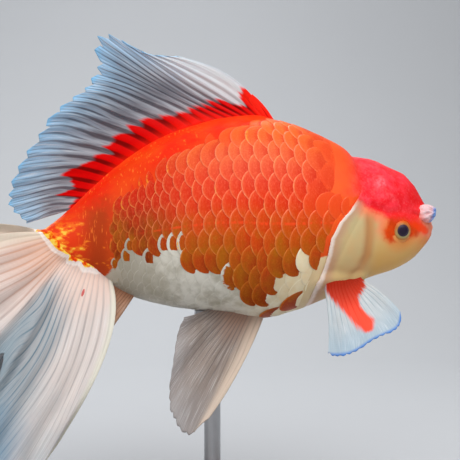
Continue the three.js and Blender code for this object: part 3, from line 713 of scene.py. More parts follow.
def scale_coat(side):
    """Every scale of one side as its own closed plate, with marks for the paint and a patch for each."""
    draw = np.random.default_rng(20 + (side > 0))
    roots = scale_roots()
    along = along_of(roots[:, 0])
    middle = body(along, turn_of(along, roots[:, 1]))
    gill_gap = gill_edge_x(middle[:, 2]) - middle[:, 0]
    foot = middle[:, 2] - np.interp(middle[:, 0], *FIN_FOOT_LINE)
    keep = (gill_gap > np.interp(middle[:, 2], *BARE_BEHIND_HEAD)) & (foot < 0)
    keep &= ((roots[:, 3] < ROWS_UNDER) | (side < 0)) & (roots[:, 0] > np.interp(middle[:, 2], *SCALES_END))
    roots, middle, along, foot, gill_gap = (values[keep] for values in (roots, middle, along, foot, gill_gap))
    x, down, spacing, row, column = roots.T
    count = len(roots)

    def each(values):
        """One number for each scale, ready to spread over its grid."""
        return np.asarray(values)[:, None, None]

    # every plate's outline: b from one side to the other, s from the root to the rim
    pitch = spacing * (1 + 0.05 * draw.standard_normal(count).clip(-1.5, 1.5))
    b = np.sin(np.linspace(-1, 1, ACROSS) * math.pi / 2) * 0.985
    s = np.array([0, 0.3, 0.55, 0.72, 0.84, 0.93, 0.975, 1.0])[:, None]
    ahead = 0.55 * b ** 2 - SCALE_AHEAD
    behind = SCALE_FLANKS + (SCALE_BEHIND - SCALE_FLANKS) * (1 - b ** 2) ** 0.5
    reach = mix(ahead, behind, s)  # rearwards, in spacings
    tilt = each(draw.normal(0, 0.02, count))
    rearwards = reach * each(pitch)
    row_width = half_girth(along) * ROW_SPACING
    sideways = b * SCALE_HALF_WIDTH * each(row_width) * (1 + 0.04 * each(draw.standard_normal(count)))
    rearwards, sideways = rearwards + tilt * sideways, sideways - tilt * rearwards
    spot_along = along_of(each(x) - rearwards)
    spot_down = each(down) + sideways / each(half_girth(along))
    spot_turn = turn_of(spot_along, np.abs(spot_down))
    spot_turn = np.where(spot_down < 0, -spot_turn, spot_turn)
    spot_turn = np.where(spot_down > 1, 1 - turn_of(spot_along, 2 - spot_down), spot_turn)
    surface = body(spot_along, spot_turn)
    normal = outwards(spot_along, spot_turn)

    # how high it stands: the root sunk under the skin, the rim free
    rise = (reach + SCALE_AHEAD) / (SCALE_AHEAD + SCALE_BEHIND)
    jitter = 1 + 0.05 * each(draw.standard_normal(count)).clip(-2, 2)
    # the middle of what its neighbours leave bare
    shown = middle[:, [0, 2]] - np.stack([1.05 * spacing, 0 * x], -1)
    own_red = scale_red(side, shown, draw.normal(0, 0.4, count))
    by_gill = mix(1, smooth(gill_gap, 5, 16), smooth(middle[:, 2], 8, 14))
    fades = smooth(x, -42, -31) * by_gill * smooth(-foot, -0.5, 4)
    depth = each(coat_depth(x) * mix(0.5, 1, smooth(own_red, -1.5, 0.5)) * fades)
    crown = 0.14 * depth * (1 - b ** 2) * np.sin(math.pi * s)
    top = -each(coat_depth(x)) + (depth * 1.15 * jitter + 0.15) * rise - 0.13 + crown
    top[:, -1] -= 0.03
    thickness = 0.05 + 0.028 * each(pitch)
    mirror = (1, -side, 1)
    front = (surface + normal * top[..., None]) * mirror
    under = (surface + normal * (top - thickness)[..., None]) * mirror

    marks = {
        "red": each(own_red), "rim": (1 - s) * (behind - ahead) * each(pitch), "aside": b, "pitch": each(pitch),
        "chance": each(draw.random(count)), "blush": each(draw.random(count)), "line": each(row == 0),
        "high": surface[..., 2], "across": surface[..., 0], "below_fin": each(-foot), "fades": each(fades),
        "by_head": each(smooth(gill_gap, 16, 6) * smooth(middle[:, 2], 0, 10)),
    }
    patch_along = each((column + 0.04 + 0.5 * (row % 2)) / PATCH_COLUMNS) + s * 0.9 / PATCH_COLUMNS + 0 * b
    patch_down = each((row + ROWS_OVER + 0.04) / PATCH_ROWS) + (b + 1) * 0.45 / PATCH_ROWS + 0 * s
    patch = np.stack([patch_along, patch_down], -1)

    block = ACROSS * LENGTHWISE
    pattern = np.array(closed_sheet(front[0], under[0])[1])
    points = np.concatenate([front.reshape(count, block, 3), under.reshape(count, block, 3)], axis=1)
    faces = (pattern[None] + each(np.arange(count) * 2 * block)).reshape(-1, 4).tolist()
    doubled = {name: np.concatenate([np.broadcast_to(values, top.shape).reshape(count, block)] * 2, axis=1)
               for name, values in marks.items()}
    patches = np.concatenate([patch.reshape(count, block, 2)] * 2, axis=1).reshape(-1, 2)
    return points.reshape(-1, 3), faces, doubled, patches


# ---------------------------------------------------------------- fins

def fin_place(guides, across, out):
    across, out = np.broadcast_arrays(across, out)
    root, bent, tip = (spline([ray[k] for ray in guides], across) for k in range(3))
    t = out[..., None]
    return (1 - t) ** 2 * root + 2 * t * (1 - t) * bent + t * t * tip


def mirrored(guides, carried=(0, 0)):
    """The same fin on the left, its tips carried so far forwards and up."""
    ahead, up = carried
    return [tuple((x + ahead * k / 2, -y, z + up * k / 2) for k, (x, y, z) in enumerate(ray)) for ray in guides]


def fin_piece(name, stands_for, guides, finish, rays, seed, size, thick, foot, folds, teeth, proud, waver=0.4,
              rounded=0.04, paint=None, cuff=None, spacing=([0, 1], [0, 1])):
    """A finished fin: a thin closed sheet, pleated along its rays, folded, and toothed round its outer edge.

    size is the points across the rays and along them; thick its thickness at the root and beyond; foot the
    extra half thickness at the root and how far it reaches; folds how many and how deep; teeth how far the edge
    is torn; proud how far rays stand up; waver how far they stray; rounded how far the outer corners draw in;
    spacing which share of the rays lies before which share of the spread. paint and cuff give the places of the
    red and of the body's skin over the root."""
    draw = np.random.default_rng(seed)
    across = np.broadcast_to(np.linspace(0, 1, size[0])[:, None], size)
    out = np.broadcast_to(np.linspace(0, 1, size[1])[None, :], size)
    flat = fin_place(guides, across, out)
    counted = np.interp(across, *spacing) * rays
    place = counted + 0.5 + 0.3 * cloud_at(counted, 0, out * 3, 2.4, seed)
    place = place + waver * cloud_at(counted / 6, 0, out * 2.2, 1.0, seed + 4) * smooth(out, 0.05, 0.5)
    off_ray = np.abs(place - np.round(place)) * 2
    own_length = draw.random(rays + 3)[np.clip(np.round(place[:, -1:]).astype(int), 0, rays + 2)]
    edge_across = across[:, -1:]
    fray = teeth * (0.45 * own_length + off_ray[:, -1:] * (0.55 + 0.45 * own_length))
    fray = fray * smooth(edge_across, 0, 0.25) * smooth(edge_across, 1, 0.98)
    fray = fray + rounded * (smooth(edge_across, 0.09, 0) ** 2 + smooth(edge_across, 0.91, 1) ** 2)
    reach = out * (1 - fray * smooth(out, 0.5, 1.0))
    sheet = fin_place(guides, across, reach)
    normal = unit(np.cross(np.gradient(flat, axis=0), np.gradient(flat, axis=1)))
    sway = TURN * folds[0] * counted / rays + 1.6 * cloud(flat, 22.0, seed + 1) * smooth(out, 0.1, 1)
    fold = np.sin(sway) * folds[1] * smooth(out, 0.03, 0.6) * (1 + 0.5 * cloud(flat, 15.0, seed + 2))
    half = mix(thick[0], thick[1], smooth(out, 0, 0.35)) / 2 + foot[0] * near(out, foot[1])
    from_side = np.minimum(across, 1 - across)
    half = half * (0.35 + 0.65 * np.sqrt(np.clip(from_side / 0.02, 0, 1))) * mix(1, 0.75, smooth(out, 0.9, 1))
    half = half + proud * (0.5 + 0.5 * np.cos(TURN * place)) * (1 - 0.5 * out) * smooth(out, 0.02, 0.12)
    sleeve = cuff(across, reach) if cuff else 0 * across + NOWHERE
    half = half + 0.4 * smooth(sleeve, -0.5, 0.3)
    front = sheet + normal * (fold + half)[..., None]
    back = sheet + normal * (fold - half)[..., None]
    marks = {"place": place, "out": reach, "spread": across, "fold": fold / folds[1], "cuff": sleeve,
             "flush": paint(across, reach) if paint else 0 * across + NOWHERE}
    points, faces = closed_sheet(front, back)
    doubled = {mark: np.concatenate([values.ravel(), values.ravel()]) for mark, values in marks.items()}
    make_piece(name, world(points), faces, finish, stands_for, doubled)


def fin_pair(name, nodes, right, left, finish, rays, seed, paints=(None, None), **form):
    """A fin on each side, the right one first; nodes are the solids it stands for, without their side's word."""
    for number, (word, guides, paint) in enumerate(zip(SIDE_WORDS.values(), (right, left), paints)):
        stands_for = [f"{node}_{word}" for node in nodes]
        fin_piece(f"{name}_{word}", stands_for, guides, finish, rays, seed + number, paint=paint, **form)


# how far out the red of the back fin runs, by its spread
RED_REACH = ([0, 0.03, 0.06, 0.1, 0.125, 0.16, 0.192, 0.266, 0.34, 0.406, 0.448, 0.484, 0.516, 0.554, 0.597, 0.64,
              0.683, 0.743, 0.777, 0.794, 0.811, 0.829, 0.863, 0.88, 0.897, 0.914, 1],
             [0.33, 0.35, 0.3, 0.22, 0.21, 0.295, 0.325, 0.305, 0.26, 0.21, 0.205, 0.24, 0.285, 0.31, 0.35, 0.305,
              0.295, 0.37, 0.46, 0.52, 0.36, 0.28, 0.36, 0.43, 0.25, 0.19, 0.22])
# the red of a pectoral fin, by its spread and how far out
PECTORAL_PATCH = [(1.02, -0.05), (1, 0.07), (0.968, 0.16), (0.828, 0.293), (0.625, 0.623), (0.542, 0.813),
                  (0.47, 0.827), (0.43, 0.707), (0.497, 0.447), (0.398, 0.27), (0.273, 0.283), (-0.02, 0.15),
                  (-0.02, -0.05)]
TAIL_CUFF = ([0, 0.08, 0.16, 0.24, 0.32, 0.4, 0.46, 0.5, 0.56, 0.64, 0.7, 0.78, 0.86, 0.93, 1.0],
             [0.07, 0.052, 0.044, 0.03, 0.016, 0.014, 0.026, 0.042, 0.03, 0.024, 0.03, 0.042, 0.03, 0.026, 0.03])
TAIL_LENGTH = 75.0  # of the tail fin's middle rays


def back_fin_red(across, out):
    """How far inside the red a place on the back fin lies: over 0 where it is red, as for the next three."""
    streak = (0.02 + 0.05 * smooth(across, 0.35, 0.7)) * cloud_at(across * 60, out * 2, 0, 1.0, 71)
    return (np.interp(across, *RED_REACH) + streak - out) * 30


def all_red(across, out):
    """For the short spine before the back fin, which is red to its tip."""
    return 6 + 0 * across


def pectoral_red(across, out):
    ragged = 0.03 * cloud_at(across * 14, out * 4, 0, 1.0, 72)
    return (depth_inside(np.stack([across, out], -1), PECTORAL_PATCH) + ragged) * 15


def tail_spot(across, out):
    """One red spot low on the right half's root."""
    spot = np.exp(-(((across - 0.785) / 0.012) ** 2 + ((out - 0.155) / 0.022) ** 2))
    return 12 * spot - 6


def tail_cuff(across, out):
    """How far the body's skin reaches over the root of the tail fin, in millimetres."""
    notch = 0.6 * cloud_at(across * 14, 0, 0, 1.0, 74) + 0.15 * cloud_at(across * 14, 0, 0, 0.25, 75)
    return (np.interp(across, *TAIL_CUFF) - out) * TAIL_LENGTH + notch


# ---------------------------------------------------------------- eyes and nostril flaps

GAZE_AHEAD = 0.4  # how far ahead of the eyeball's middle the pupil lies
BACK_OF_EYE = 9  # the gaze mark's value there
FRONT_ANGLES, REAR_ANGLES = np.linspace(0.01, 0.75, 40), np.linspace(0.8, math.pi - 0.02, 22)
EYE_SIDES, FLAP_SIDES, FLAP_RINGS = 72, 120, 60
CORNEA_BULGE = 0.22


def eye_piece(side):
    """An eyeball: rings from the pupil's middle round to its back, with how far each lies from the gaze."""
    angles = np.concatenate([FRONT_ANGLES, REAR_ANGLES])
    turns = TURN * np.arange(EYE_SIDES) / EYE_SIDES
    bulge = EYE_RADIUS + CORNEA_BULGE * smooth(angles, 0.62, 0.3)
    off = (np.sin(angles) * bulge)[:, None]
    gaze_out = (np.cos(angles) * bulge)[:, None]
    centre = EYE_CENTRE * (1, side, 1)
    rings = np.stack([off * np.cos(turns), side * gaze_out + 0 * turns, off * np.sin(turns)], -1) + centre
    points, faces = closed_tube(rings)
    offset = np.vstack([rings.reshape(-1, 3), [centre] * 2]) - centre
    gaze = np.linalg.norm(offset[:, [0, 2]] - (GAZE_AHEAD, 0), axis=-1)
    gaze = np.where(offset[:, 1] * side > 0, gaze, BACK_OF_EYE)
    gaze[-2:] = GAZE_AHEAD, BACK_OF_EYE
    word = SIDE_WORDS[side]
    make_piece("eyeball_" + word, world(points), faces, EYE, ["eye_" + word],
               {"gaze": gaze, "above": offset[:, 2]})


def nostril_flap(side):
    """A soft fluffy rosette: a lumpy ball whose outer half is frilled."""
    angles = np.linspace(0.02, math.pi - 0.02, FLAP_RINGS)[:, None]
    turns = TURN * np.arange(FLAP_SIDES)[None, :] / FLAP_SIDES
    out = unit(np.array([0.75, 0.5 * side, 0.35]))
    beside = unit(np.cross(out, (0, 0, 1.0)))
    above = np.cross(beside, out)
    facing = (np.sin(angles) * np.cos(turns))[..., None] * beside
    facing = facing + (np.sin(angles) * np.sin(turns))[..., None] * above
    facing = facing + (np.cos(angles) + 0 * turns)[..., None] * out
    spot = facing * FLAP_RADIUS
    frill = smooth(np.cos(angles), -0.5, 0.6)
    petals = frill * 0.03 * np.cos(13 * turns + 3 * cloud(spot, 2.5, 83))
    tuft = 0.10 * cloud(spot, 1.7, 81) + 0.06 * cloud(spot, 0.8, 82) + petals
    tuft = tuft + 0.05 * frill * lumps(spot, 1.5, 84)
    shape = spot * (1 + tuft)[..., None] * (1.18, 1, 0.88)
    rings = FLAP_CENTRE * (1, side, 1) + shape + out * (shape @ out)[..., None] * 0.06
    points, faces = closed_tube(rings)
    rim_way = unit(np.array([0.9, 0.2 * side, -0.15]))
    marks = {"tip": ((1 + np.cos(angles)) / 2 + 0 * turns, [1, 0]), "crease": (tuft, [0, 0]),
             "rimmed": (facing @ rim_way, [0, 0])}  # each with its values at the two closing points
    marks = {mark: np.concatenate([values.ravel(), ends]) for mark, (values, ends) in marks.items()}
    word = SIDE_WORDS[side]
    make_piece("nostril_rosette_" + word, world(points), faces, FLAP, ["nostril_flap_" + word],
               marks)


# ---------------------------------------------------------------- what each finish is
# Numbers in step() are millimetres on the fish where they go with a height, a place along the body or a distance,
# and shares from 0 to 1 otherwise. Colours are red, green and blue from 0 to 255.

FLESH_GLOW, WEB_GLOW = (1.0, 0.35, 0.2), (1.0, 0.5, 0.4)  # how far red, green and blue light spread inside


def skin_finish():
    f = Finish("fish_skin", Roughness=0.42, Specular_IOR_Level=0.14, Coat_Weight=0.04, Coat_Roughness=0.25,
               Subsurface_Weight=0.08, Subsurface_Scale=0.004, Subsurface_Radius=FLESH_GLOW)
    red, cap, eye, behind, high, across, crown, membrane, groove, snout, mouth = f.marks(
        "red", "cap", "eye", "behind_gill", "high", "across", "crown", "gill_edge", "cheek", "snout_spot",
        "mouth")
    fine, broad, soft = f.noise(0.9, 3), f.noise(9, 3), f.noise(4, 3)

    # darker low on the flank: partly the fish's own tone and partly painted shade under the light from above
    back = f.washed((226, 54, 8), (high.step(8, 36), (238, 38, 10)), (across.step(24, 42), (242, 84, 34)))
    flank = f.washed((190, 70, 6), (high.step(-22, 6), back), (broad.step(0.35, 0.7) * 0.25, (250, 110, 20)))
    # glint: painted gold glints of light on the stalk
    glint = f.noise(3.0, 3, (0.7, 1, 1.4), (0, 0.5, 0)) + across.step(-38, -54).swing(0.2)
    upper_stalk = (high + soft.swing(8) + across.step(-38, -50) * 4).step(6, 17)
    stalk = f.washed((178, 56, 2), (across.step(-43, -51), (226, 56, 8)), (upper_stalk, (238, 40, 12)),
                     (glint.step(0.52, 0.62) * high.step(7, 0) * 0.7, (244, 128, 22)),
                     (glint.step(0.63, 0.70) * high.step(5, -1) * 0.8, (255, 206, 70)))
    flank = f.mixed((across + soft.swing(8)).step(-33, -42), flank, stalk)

    # sheen: painted pink highlight on the growth
    sheen = crown * across.step(68, 61) * high.step(9, 14) * (0.25 + f.noise(1.5, 3).step(0.4, 0.6) * 0.75)
    veins = f.noise(2.6, 4, (1, 1, 0.6)).step(0.52, 0.62) * across.step(70, 60) * high.step(8, 12)
    growth = f.washed((238, 22, 36), (soft.step(0.35, 0.65), (250, 54, 70)),
                      (across.step(62, 72) * high.step(20, 13) * high.step(6, 10) * 0.8, (228, 8, 10)),
                      (high.step(10, 5) * 0.7, (250, 40, 34)), (sheen * 0.75, (255, 134, 144)),
                      (veins * 0.2, (255, 104, 112)), (f.noise(0.8, 2).step(0.45, 0.75) * 0.2, (255, 120, 120)))
    peach = across.step(72, 76.5) * high.step(6.5, 4.0)
    crimson = (cap + 3.2 + soft.swing(3)).step(-1.8, 2.0) * (1 - peach)
    brow = f.washed((206, 58, 4), (soft.step(0.3, 0.7), (230, 72, 6)),
                    (peach * (0.7 + soft.step(0.4, 0.6) * 0.3), (250, 142, 110)),
                    ((snout + soft.swing(2)).step(2.4, 0.8) * 0.9, (252, 62, 4)),
                    (crimson.maths("MAXIMUM", crimson, cap.step(-0.8, 0.6)), growth))
    above_gill = high.step(10, 15)
    on_body = behind.step(0.3, 0.7) * (1 - above_gill) + (membrane + soft.swing(6)).step(-3, 8) * above_gill
    red_skin = f.mixed(on_body, brow, flank)

    # shade: painted shade along the cheek's groove
    shade = groove.step(3.4, 0.3) * high.step(9, 3) * high.step(-18, -8)
    gill_rim = membrane.step(-1.6, -0.6) * (1 - behind) * high.step(11, 7)
    cheek = f.washed((226, 174, 90), (high.step(-16, 6), (208, 178, 124)),
                     (across.step(58, 50) * 0.6, (196, 184, 142)),
                     (across.step(64, 80) * high.step(-12, -2) * 0.8, (236, 122, 42)),
                     (broad.step(0.4, 0.7) * 0.25, (226, 168, 108)),
                     ((red + soft.swing(2)).step(-5.5, -0.6) * high.step(-6, 4) * 0.85, (255, 128, 92)),
                     (shade * 0.65, (186, 112, 56)), (eye.step(9.5, 5.0) * 0.6, (236, 134, 52)),
                     (membrane.step(-5.0, -1.6) * 0.55, (188, 134, 118)), (gill_rim * 0.8, (246, 226, 214)))
    belly = f.washed((196, 188, 172), (broad.step(0.3, 0.7), (222, 214, 200)),
                     (across.step(-18, -34) * 0.6, (160, 150, 132)), (across.step(8, 34) * 0.8, (228, 198, 144)))
    pale_skin = f.mixed(behind.step(0.3, 0.7), cheek, belly)

    soft_edge = 0.4 + 0.9 * (1 - behind)  # how softly red gives way to pale, in millimetres
    lips = across.step(76.5, 80) * high.step(-7, -2.5) * high.step(7, 3)
    fleck = f.noise(1.7, 2, (2.4, 1, 0.4), (0, 0.5, 0)).step(0.60, 0.68) * behind * high.step(-9, 0)
    fleck = fleck * across.step(4, -12) * across.step(-52, -46)
    # the mouth mark darkens the inside of the mouth: painted shade
    f.feed("Base Color", f.washed(pale_skin, (((red + fine.swing(1.2)) / soft_edge).step(-1.0, 1.0), red_skin),
                                  (lips * 0.6, (246, 138, 104)), (fleck * 0.6, (255, 128, 44)),
                                  (mouth, (120, 50, 40))))
    f.feed("Roughness", 0.38 + fine * 0.2)
    f.relief(f.noise(0.7, 2) * 0.35 + broad * 0.5, 0.1, 0.45)
    return f.material


# the middle of a red scale, from the belly up to the back: darker low down, partly the fish's own deeper tone and
# partly painted shade under the light from above
SCALE_TONES = [(0.0, (150, 62, 8)), (0.2, (180, 66, 6)), (0.34, (206, 70, 6)), (0.46, (222, 68, 14)),
               (0.56, (228, 56, 20)), (0.66, (228, 60, 26)), (0.78, (230, 88, 40)), (1.0, (238, 110, 38))]


def scale_finish():
    f = Finish("scales", Roughness=0.4, Specular_IOR_Level=0.1, Coat_Weight=0.03, Coat_Roughness=0.25,
               Subsurface_Weight=0.05, Subsurface_Scale=0.003, Subsurface_Radius=FLESH_GLOW)
    red, rim, aside, pitch, high, across, chance, blush, fades, line, below_fin, by_head = f.marks(
        "red", "rim", "aside", "pitch", "high", "across", "chance", "blush", "fades", "line", "below_fin",
        "by_head")
    fine, streaks, patches = f.noise(1.0, 3), f.noise(0.5, 2, (1, 1, 0.2)), f.noise(2.6, 3)
    grain = f.noise(0.45, 2, (1, 1, 0.6))
    near_rim, from_middle = rim / pitch, aside.maths("ABSOLUTE", aside)
    # root_shade is painted shadow where the scale ahead overlaps; pale_rim_and_highlight is the scale's own paler
    # rim with a painted highlight on it
    root_shade, pale_rim_and_highlight = near_rim.step(0.45, 1.0), near_rim.step(0.15, 0.02)

    def shaded_below(bottom, top, lower, upper):
        """One colour below the bottom height, the other above the top height; the lower one darker, partly the
        fish's own tone and partly painted shade.
        """
        return f.mixed(high.step(bottom, top), lower, upper)

    olive = (blush.step(0.3, 0.9) * 0.4 + f.noise(7, 3).step(0.42, 0.62) * 0.5) * high.step(10, -4)
    # the rim's own pale colour, which also carries its painted highlight
    rim_tone = f.washed(shaded_below(-12, 12, (206, 122, 40), (255, 140, 104)), (across.step(-20, -40), (224, 128, 40)),
                        (patches.step(0.5, 0.66) * chance.step(0.3, 0.9) * 0.6, (255, 186, 96)))
    rim_shows = fades * (0.1 + blush * 0.3 + patches.step(0.38, 0.62) * 0.35 + fine.step(0.35, 0.6) * 0.2)
    red_scale = f.washed(f.node("ValToRGB", {"stops": SCALE_TONES}, {0: (high + 24) / 64}),
                         (across.step(-8, -28) * 0.9, shaded_below(-2, 14, (120, 40, 0), (196, 30, 0))),
                         (streaks.step(0.45, 0.7) * 0.22, shaded_below(-10, 14, (214, 110, 24), (255, 116, 76))),
                         (chance.step(0.3, 1.0) * 0.25, (220, 50, 12)), (olive, (176, 98, 6)),
                         (root_shade * (0.4 + high.step(-4, 16) * 0.15),
                          shaded_below(-14, 10, (150, 40, 2), (206, 30, 8))),
                         # lighter just inside the rim: part of the painted highlight
                         (near_rim.step(0.32, 0.08) * 0.25, shaded_below(-10, 10, (226, 96, 20), (255, 120, 64))),
                         (pale_rim_and_highlight * rim_shows, rim_tone),
                         (grain.step(0.5, 0.72) * 0.22, shaded_below(-10, 12, (150, 60, 6), (216, 44, 20))),
                         (grain.step(0.5, 0.28) * 0.18, shaded_below(-10, 12, (232, 120, 44), (255, 140, 96))))

    # the belly's own pearly mottling, with painted shimmer of light on it
    pearl_and_shimmer = (f.noise(2.2, 4) * 0.35 + f.noise(8, 2) * 0.65).step(0.34, 0.62) * across.step(-34, -16)
    pale_scale = f.washed(f.mixed(across.step(0, 34), (182, 174, 156), (244, 218, 170)),
                          (pearl_and_shimmer, f.mixed(across.step(4, 34), (226, 220, 206), (246, 228, 188))),
                          (across.step(-18, -34) * 0.5, (158, 148, 132)), (root_shade * 0.12, (160, 150, 130)),
                          (pale_rim_and_highlight * 0.2, (236, 232, 222)))

    outer_part = near_rim.maths("MAXIMUM", near_rim.step(0.40, 0.1), from_middle.step(0.42, 0.62))
    own_red = red - outer_part * red.step(1.6, -0.5) * across.step(8, -6) * (1.2 + fine.step(0.3, 0.6) * 1.6)
    # painted glints: gold dashes of light on some rims, below the back fin's foot, near the tail and here and
    # there
    glint_here = below_fin.step(7, 2) * blush.step(0.45, 0.6) + across.step(-32, -46) * chance.step(0.35, 0.6)
    glint_here = glint_here + (chance * blush).step(0.90, 0.91)
    glint_dash = near_rim.step(0.3, 0.12) * near_rim.step(0.0, 0.06) * from_middle.step(0.6, 0.2) * fine.step(0.4, 0.6)
    pore = line * (from_middle + fine.swing(0.12)).step(0.13, 0.02) * near_rim.step(0.02, 0.3)
    pore = pore * across.step(-34, -16) * (0.1 + f.noise(1.5, 2, (1, 0.2, 0.2)).step(0.42, 0.56) * 0.9)
    f.feed("Base Color", f.washed(pale_scale, (own_red.step(0.0, 0.3), red_scale),
                                  (glint_here * glint_dash * 0.8, (250, 176, 44)),
                                  (pore * 0.75, f.mixed(red.step(-1, 1), (150, 140, 120), (248, 76, 30))),
                                  (by_head * 0.8, (242, 80, 32)),
                                  (below_fin.step(4.5, 0.5) * across.step(18, 8) * 0.75, (236, 48, 12))))
    f.feed("Roughness", 0.32 + fine * 0.16 + root_shade * 0.1)
    ribs = (rim * 14 + fine * 3).wave() * 0.5
    f.relief(ribs + streaks * 1.2, 0.03, 0.5)
    return f.material


def fin_finish(name, root, web, bone, tip, clear, ray_width, reds=((84, 0, 0), (212, 6, 0), (228, 36, 8)),
               lead=None, trail=None, outer=None, lead_reach=0.11, ragged=(1.5, 4.0), foot_reach=0.16,
               red_fades=0.5, front_red=None, zones=()):
    """A fin: thin web and paler rays that fork on their way out, from the root's colour to the tip's.

    clear and ray_width are how clear the web and how wide a ray is, at the root and at the edge. reds are for
    the red part's web, its rays and its foot, and front_red is for its first rays. lead, trail and outer colour
    the three free edges. Each zone is a colour, how strong it is, where it begins and ends across the fin, and
    where it begins and ends on the way out."""
    f = Finish(name, Roughness=0.45, Specular_IOR_Level=0.05, Subsurface_Weight=0.05, Subsurface_Scale=0.002,
               Subsurface_Radius=WEB_GLOW)
    place, out, spread, fold, flush, cuff = f.marks("place", "out", "spread", "fold", "flush", "cuff")
    fork, second_fork = out.step(0.15, 0.75) * 0.25, out.step(0.5, 1.0) * 0.12
    gap = None
    for first in (-1, 1):
        for second in (-1, 1):
            line = place + fork * first + second_fork * second
            away = line.maths("PINGPONG", line, 0.5)
            gap = away if gap is None else gap.maths("MINIMUM", gap, away)
    ray = (gap / (ray_width[0] + out.step(0.1, 0.95) * (ray_width[1] - ray_width[0]))).step(1.3, 0.5)

    def drawn_out(across_ray, along_ray, detail):
        """Unevenness that runs along the rays."""
        spot = f.node("CombineXYZ", None, {0: place * across_ray, 1: out * along_ray})
        return f.node("TexNoise", None, {"Vector": spot, "Scale": 1.0, "Detail": detail})

    # threads_and_glints: the fins' own fine fibres, painted whiter as glints of light
    fibre, threads_and_glints = drawn_out(6, 5, 3.0), drawn_out(13, 4, 2.0)
    joints = (out * 260 + place * 1.7).wave() * ray * out.step(0.1, 0.3)
    fine, broad = f.noise(1.6, 3), f.noise(12, 2)
    strands = (ray * 0.8 + fibre.step(0.3, 0.75) * 0.45).step(0.05, 1.1)
    # the web's colour laid again over the folds' valleys is painted shade
    tone = f.washed(web, (strands, bone),
                    ((out + broad.swing(0.4)).step(0.45, 1.0) * (0.5 + strands * 0.35), tip),
                    ((out + broad.swing(0.3)).step(0.4, 0.0) * (0.5 + strands * 0.4), root),
                    (fold.step(0.1, -1.1) * 0.3, web),
                    (threads_and_glints.step(0.54, 0.68) * out.step(0.1, 0.35) * 0.4, f.mixed(0.6, bone, (255, 255, 255))))
    for shade, amount, (left, right), (inner, outward) in zones:
        here = (spread + broad.swing(0.06)).step(*left) * spread.step(*right)
        here = here * out.step(*inner) * out.step(*outward)
        tone = f.mixed(here * (amount - strands * amount * 0.5), tone, shade)
    if lead is not None:
        tone = f.mixed((spread + broad.swing(0.05)).step(lead_reach, 0.02) * 0.85, tone, lead)
    if trail is not None:
        tone = f.mixed((spread + broad.swing(0.02)).step(0.955, 0.99) * 0.85, tone, trail)

    redness = f.washed(reds[0], ((ray + fibre * 0.5).step(0.2, 1.0), reds[1]),
                       (out.step(foot_reach, foot_reach * 0.15) * 0.8, reds[2]))
    if front_red is not None:
        redness = f.mixed(spread.step(0.1, 0.05) * 0.7, redness, front_red)
    red_here = (flush + ray.swing(ragged[0]) + fibre.swing(ragged[1])).step(-red_fades, 0.5)
    tone = f.mixed(red_here, tone, redness)
    if outer is not None:
        tone = f.mixed(out.step(0.93, 0.99) * 0.8, tone, outer)

    cuff = cuff + fine.swing(0.5)
    # glint: painted gold glints on the body's skin over the tail's root
    glint = f.noise(1.8, 3) + cuff.step(2.6, 0.4) * 0.16
    sleeve = f.washed((228, 60, 12), (glint.step(0.5, 0.6), (250, 146, 26)),
                      (glint.step(0.62, 0.7), (255, 214, 84)))
    pale_hem = cuff.step(-1.9, -1.0) * (0.6 + broad.step(0.4, 0.6) * 0.4)
    f.feed("Base Color", f.washed(tone, (pale_hem, (255, 246, 240)), (cuff.step(0.0, 0.35), sleeve)))
    f.feed("Roughness", 0.36 + fibre * 0.18)
    clearness = clear[0] + out.step(0.2, 1.0) * (clear[1] - clear[0])
    f.feed("Alpha", 1 - (1 - strands) * clearness * out.step(0.04, 0.2) * (1 - red_here))
    f.relief(ray + fibre * 0.5 + joints * 0.12, 0.12, 0.5)
    f.material.surface_render_method = "DITHERED"
    return f.material


def eye_finish():
    f = Finish("eye", Roughness=0.4, Specular_IOR_Level=0.25)
    (gaze, above), fine = f.marks("gaze", "above"), f.noise(0.35, 3)
    wobble = gaze + fine.swing(0.2)
    outer_iris = f.mixed(above.step(-1.5, 0.5), (196, 132, 60), (206, 92, 24))
    iris = f.washed((172, 164, 110), ((above + fine.swing(2)).step(-1.4, 1.4), (168, 92, 30)),
                    (fine.step(0.3, 0.7) * 0.3, (200, 164, 92)), (wobble.step(2.5, 3.1), outer_iris),
                    (wobble.step(2.3, 2.1) * 0.6, (96, 76, 56)))
    pupil = f.mixed(gaze.step(1.2, 2.1), (34, 22, 44), (56, 36, 60))
    f.feed("Base Color", f.mixed(wobble.step(2.05, 2.25), pupil, iris))
    f.feed("Roughness", 0.34 + fine * 0.14)
    return f.material


def flap_finish():
    f = Finish("nostril_flap", Roughness=0.55, Specular_IOR_Level=0.2, Subsurface_Weight=0.2,
               Subsurface_Scale=0.003, Subsurface_Radius=WEB_GLOW)
    (tip, crease, rimmed), fine = f.marks("tip", "crease", "rimmed"), f.noise(0.6, 3)
    out, ringed = tip + fine.swing(0.3), rimmed + fine.swing(0.4)
    # darker pink in the creases of the rosette is painted shade
    f.feed("Base Color", f.washed((240, 62, 56), (out.step(0.12, 0.4), (244, 150, 140)),
                                  (out.step(0.4, 0.7), (224, 188, 192)), (ringed.step(0.45, 0.8), (96, 146, 214)),
                                  (ringed.step(0.86, 0.98) * 0.8, (222, 206, 214)),
                                  (crease.step(0.02, -0.1) * 0.35, (224, 140, 134)),
                                  (fine.step(0.5, 0.8) * 0.3, (250, 232, 230))))
    f.relief(fine, 0.2, 0.6)
    return f.material


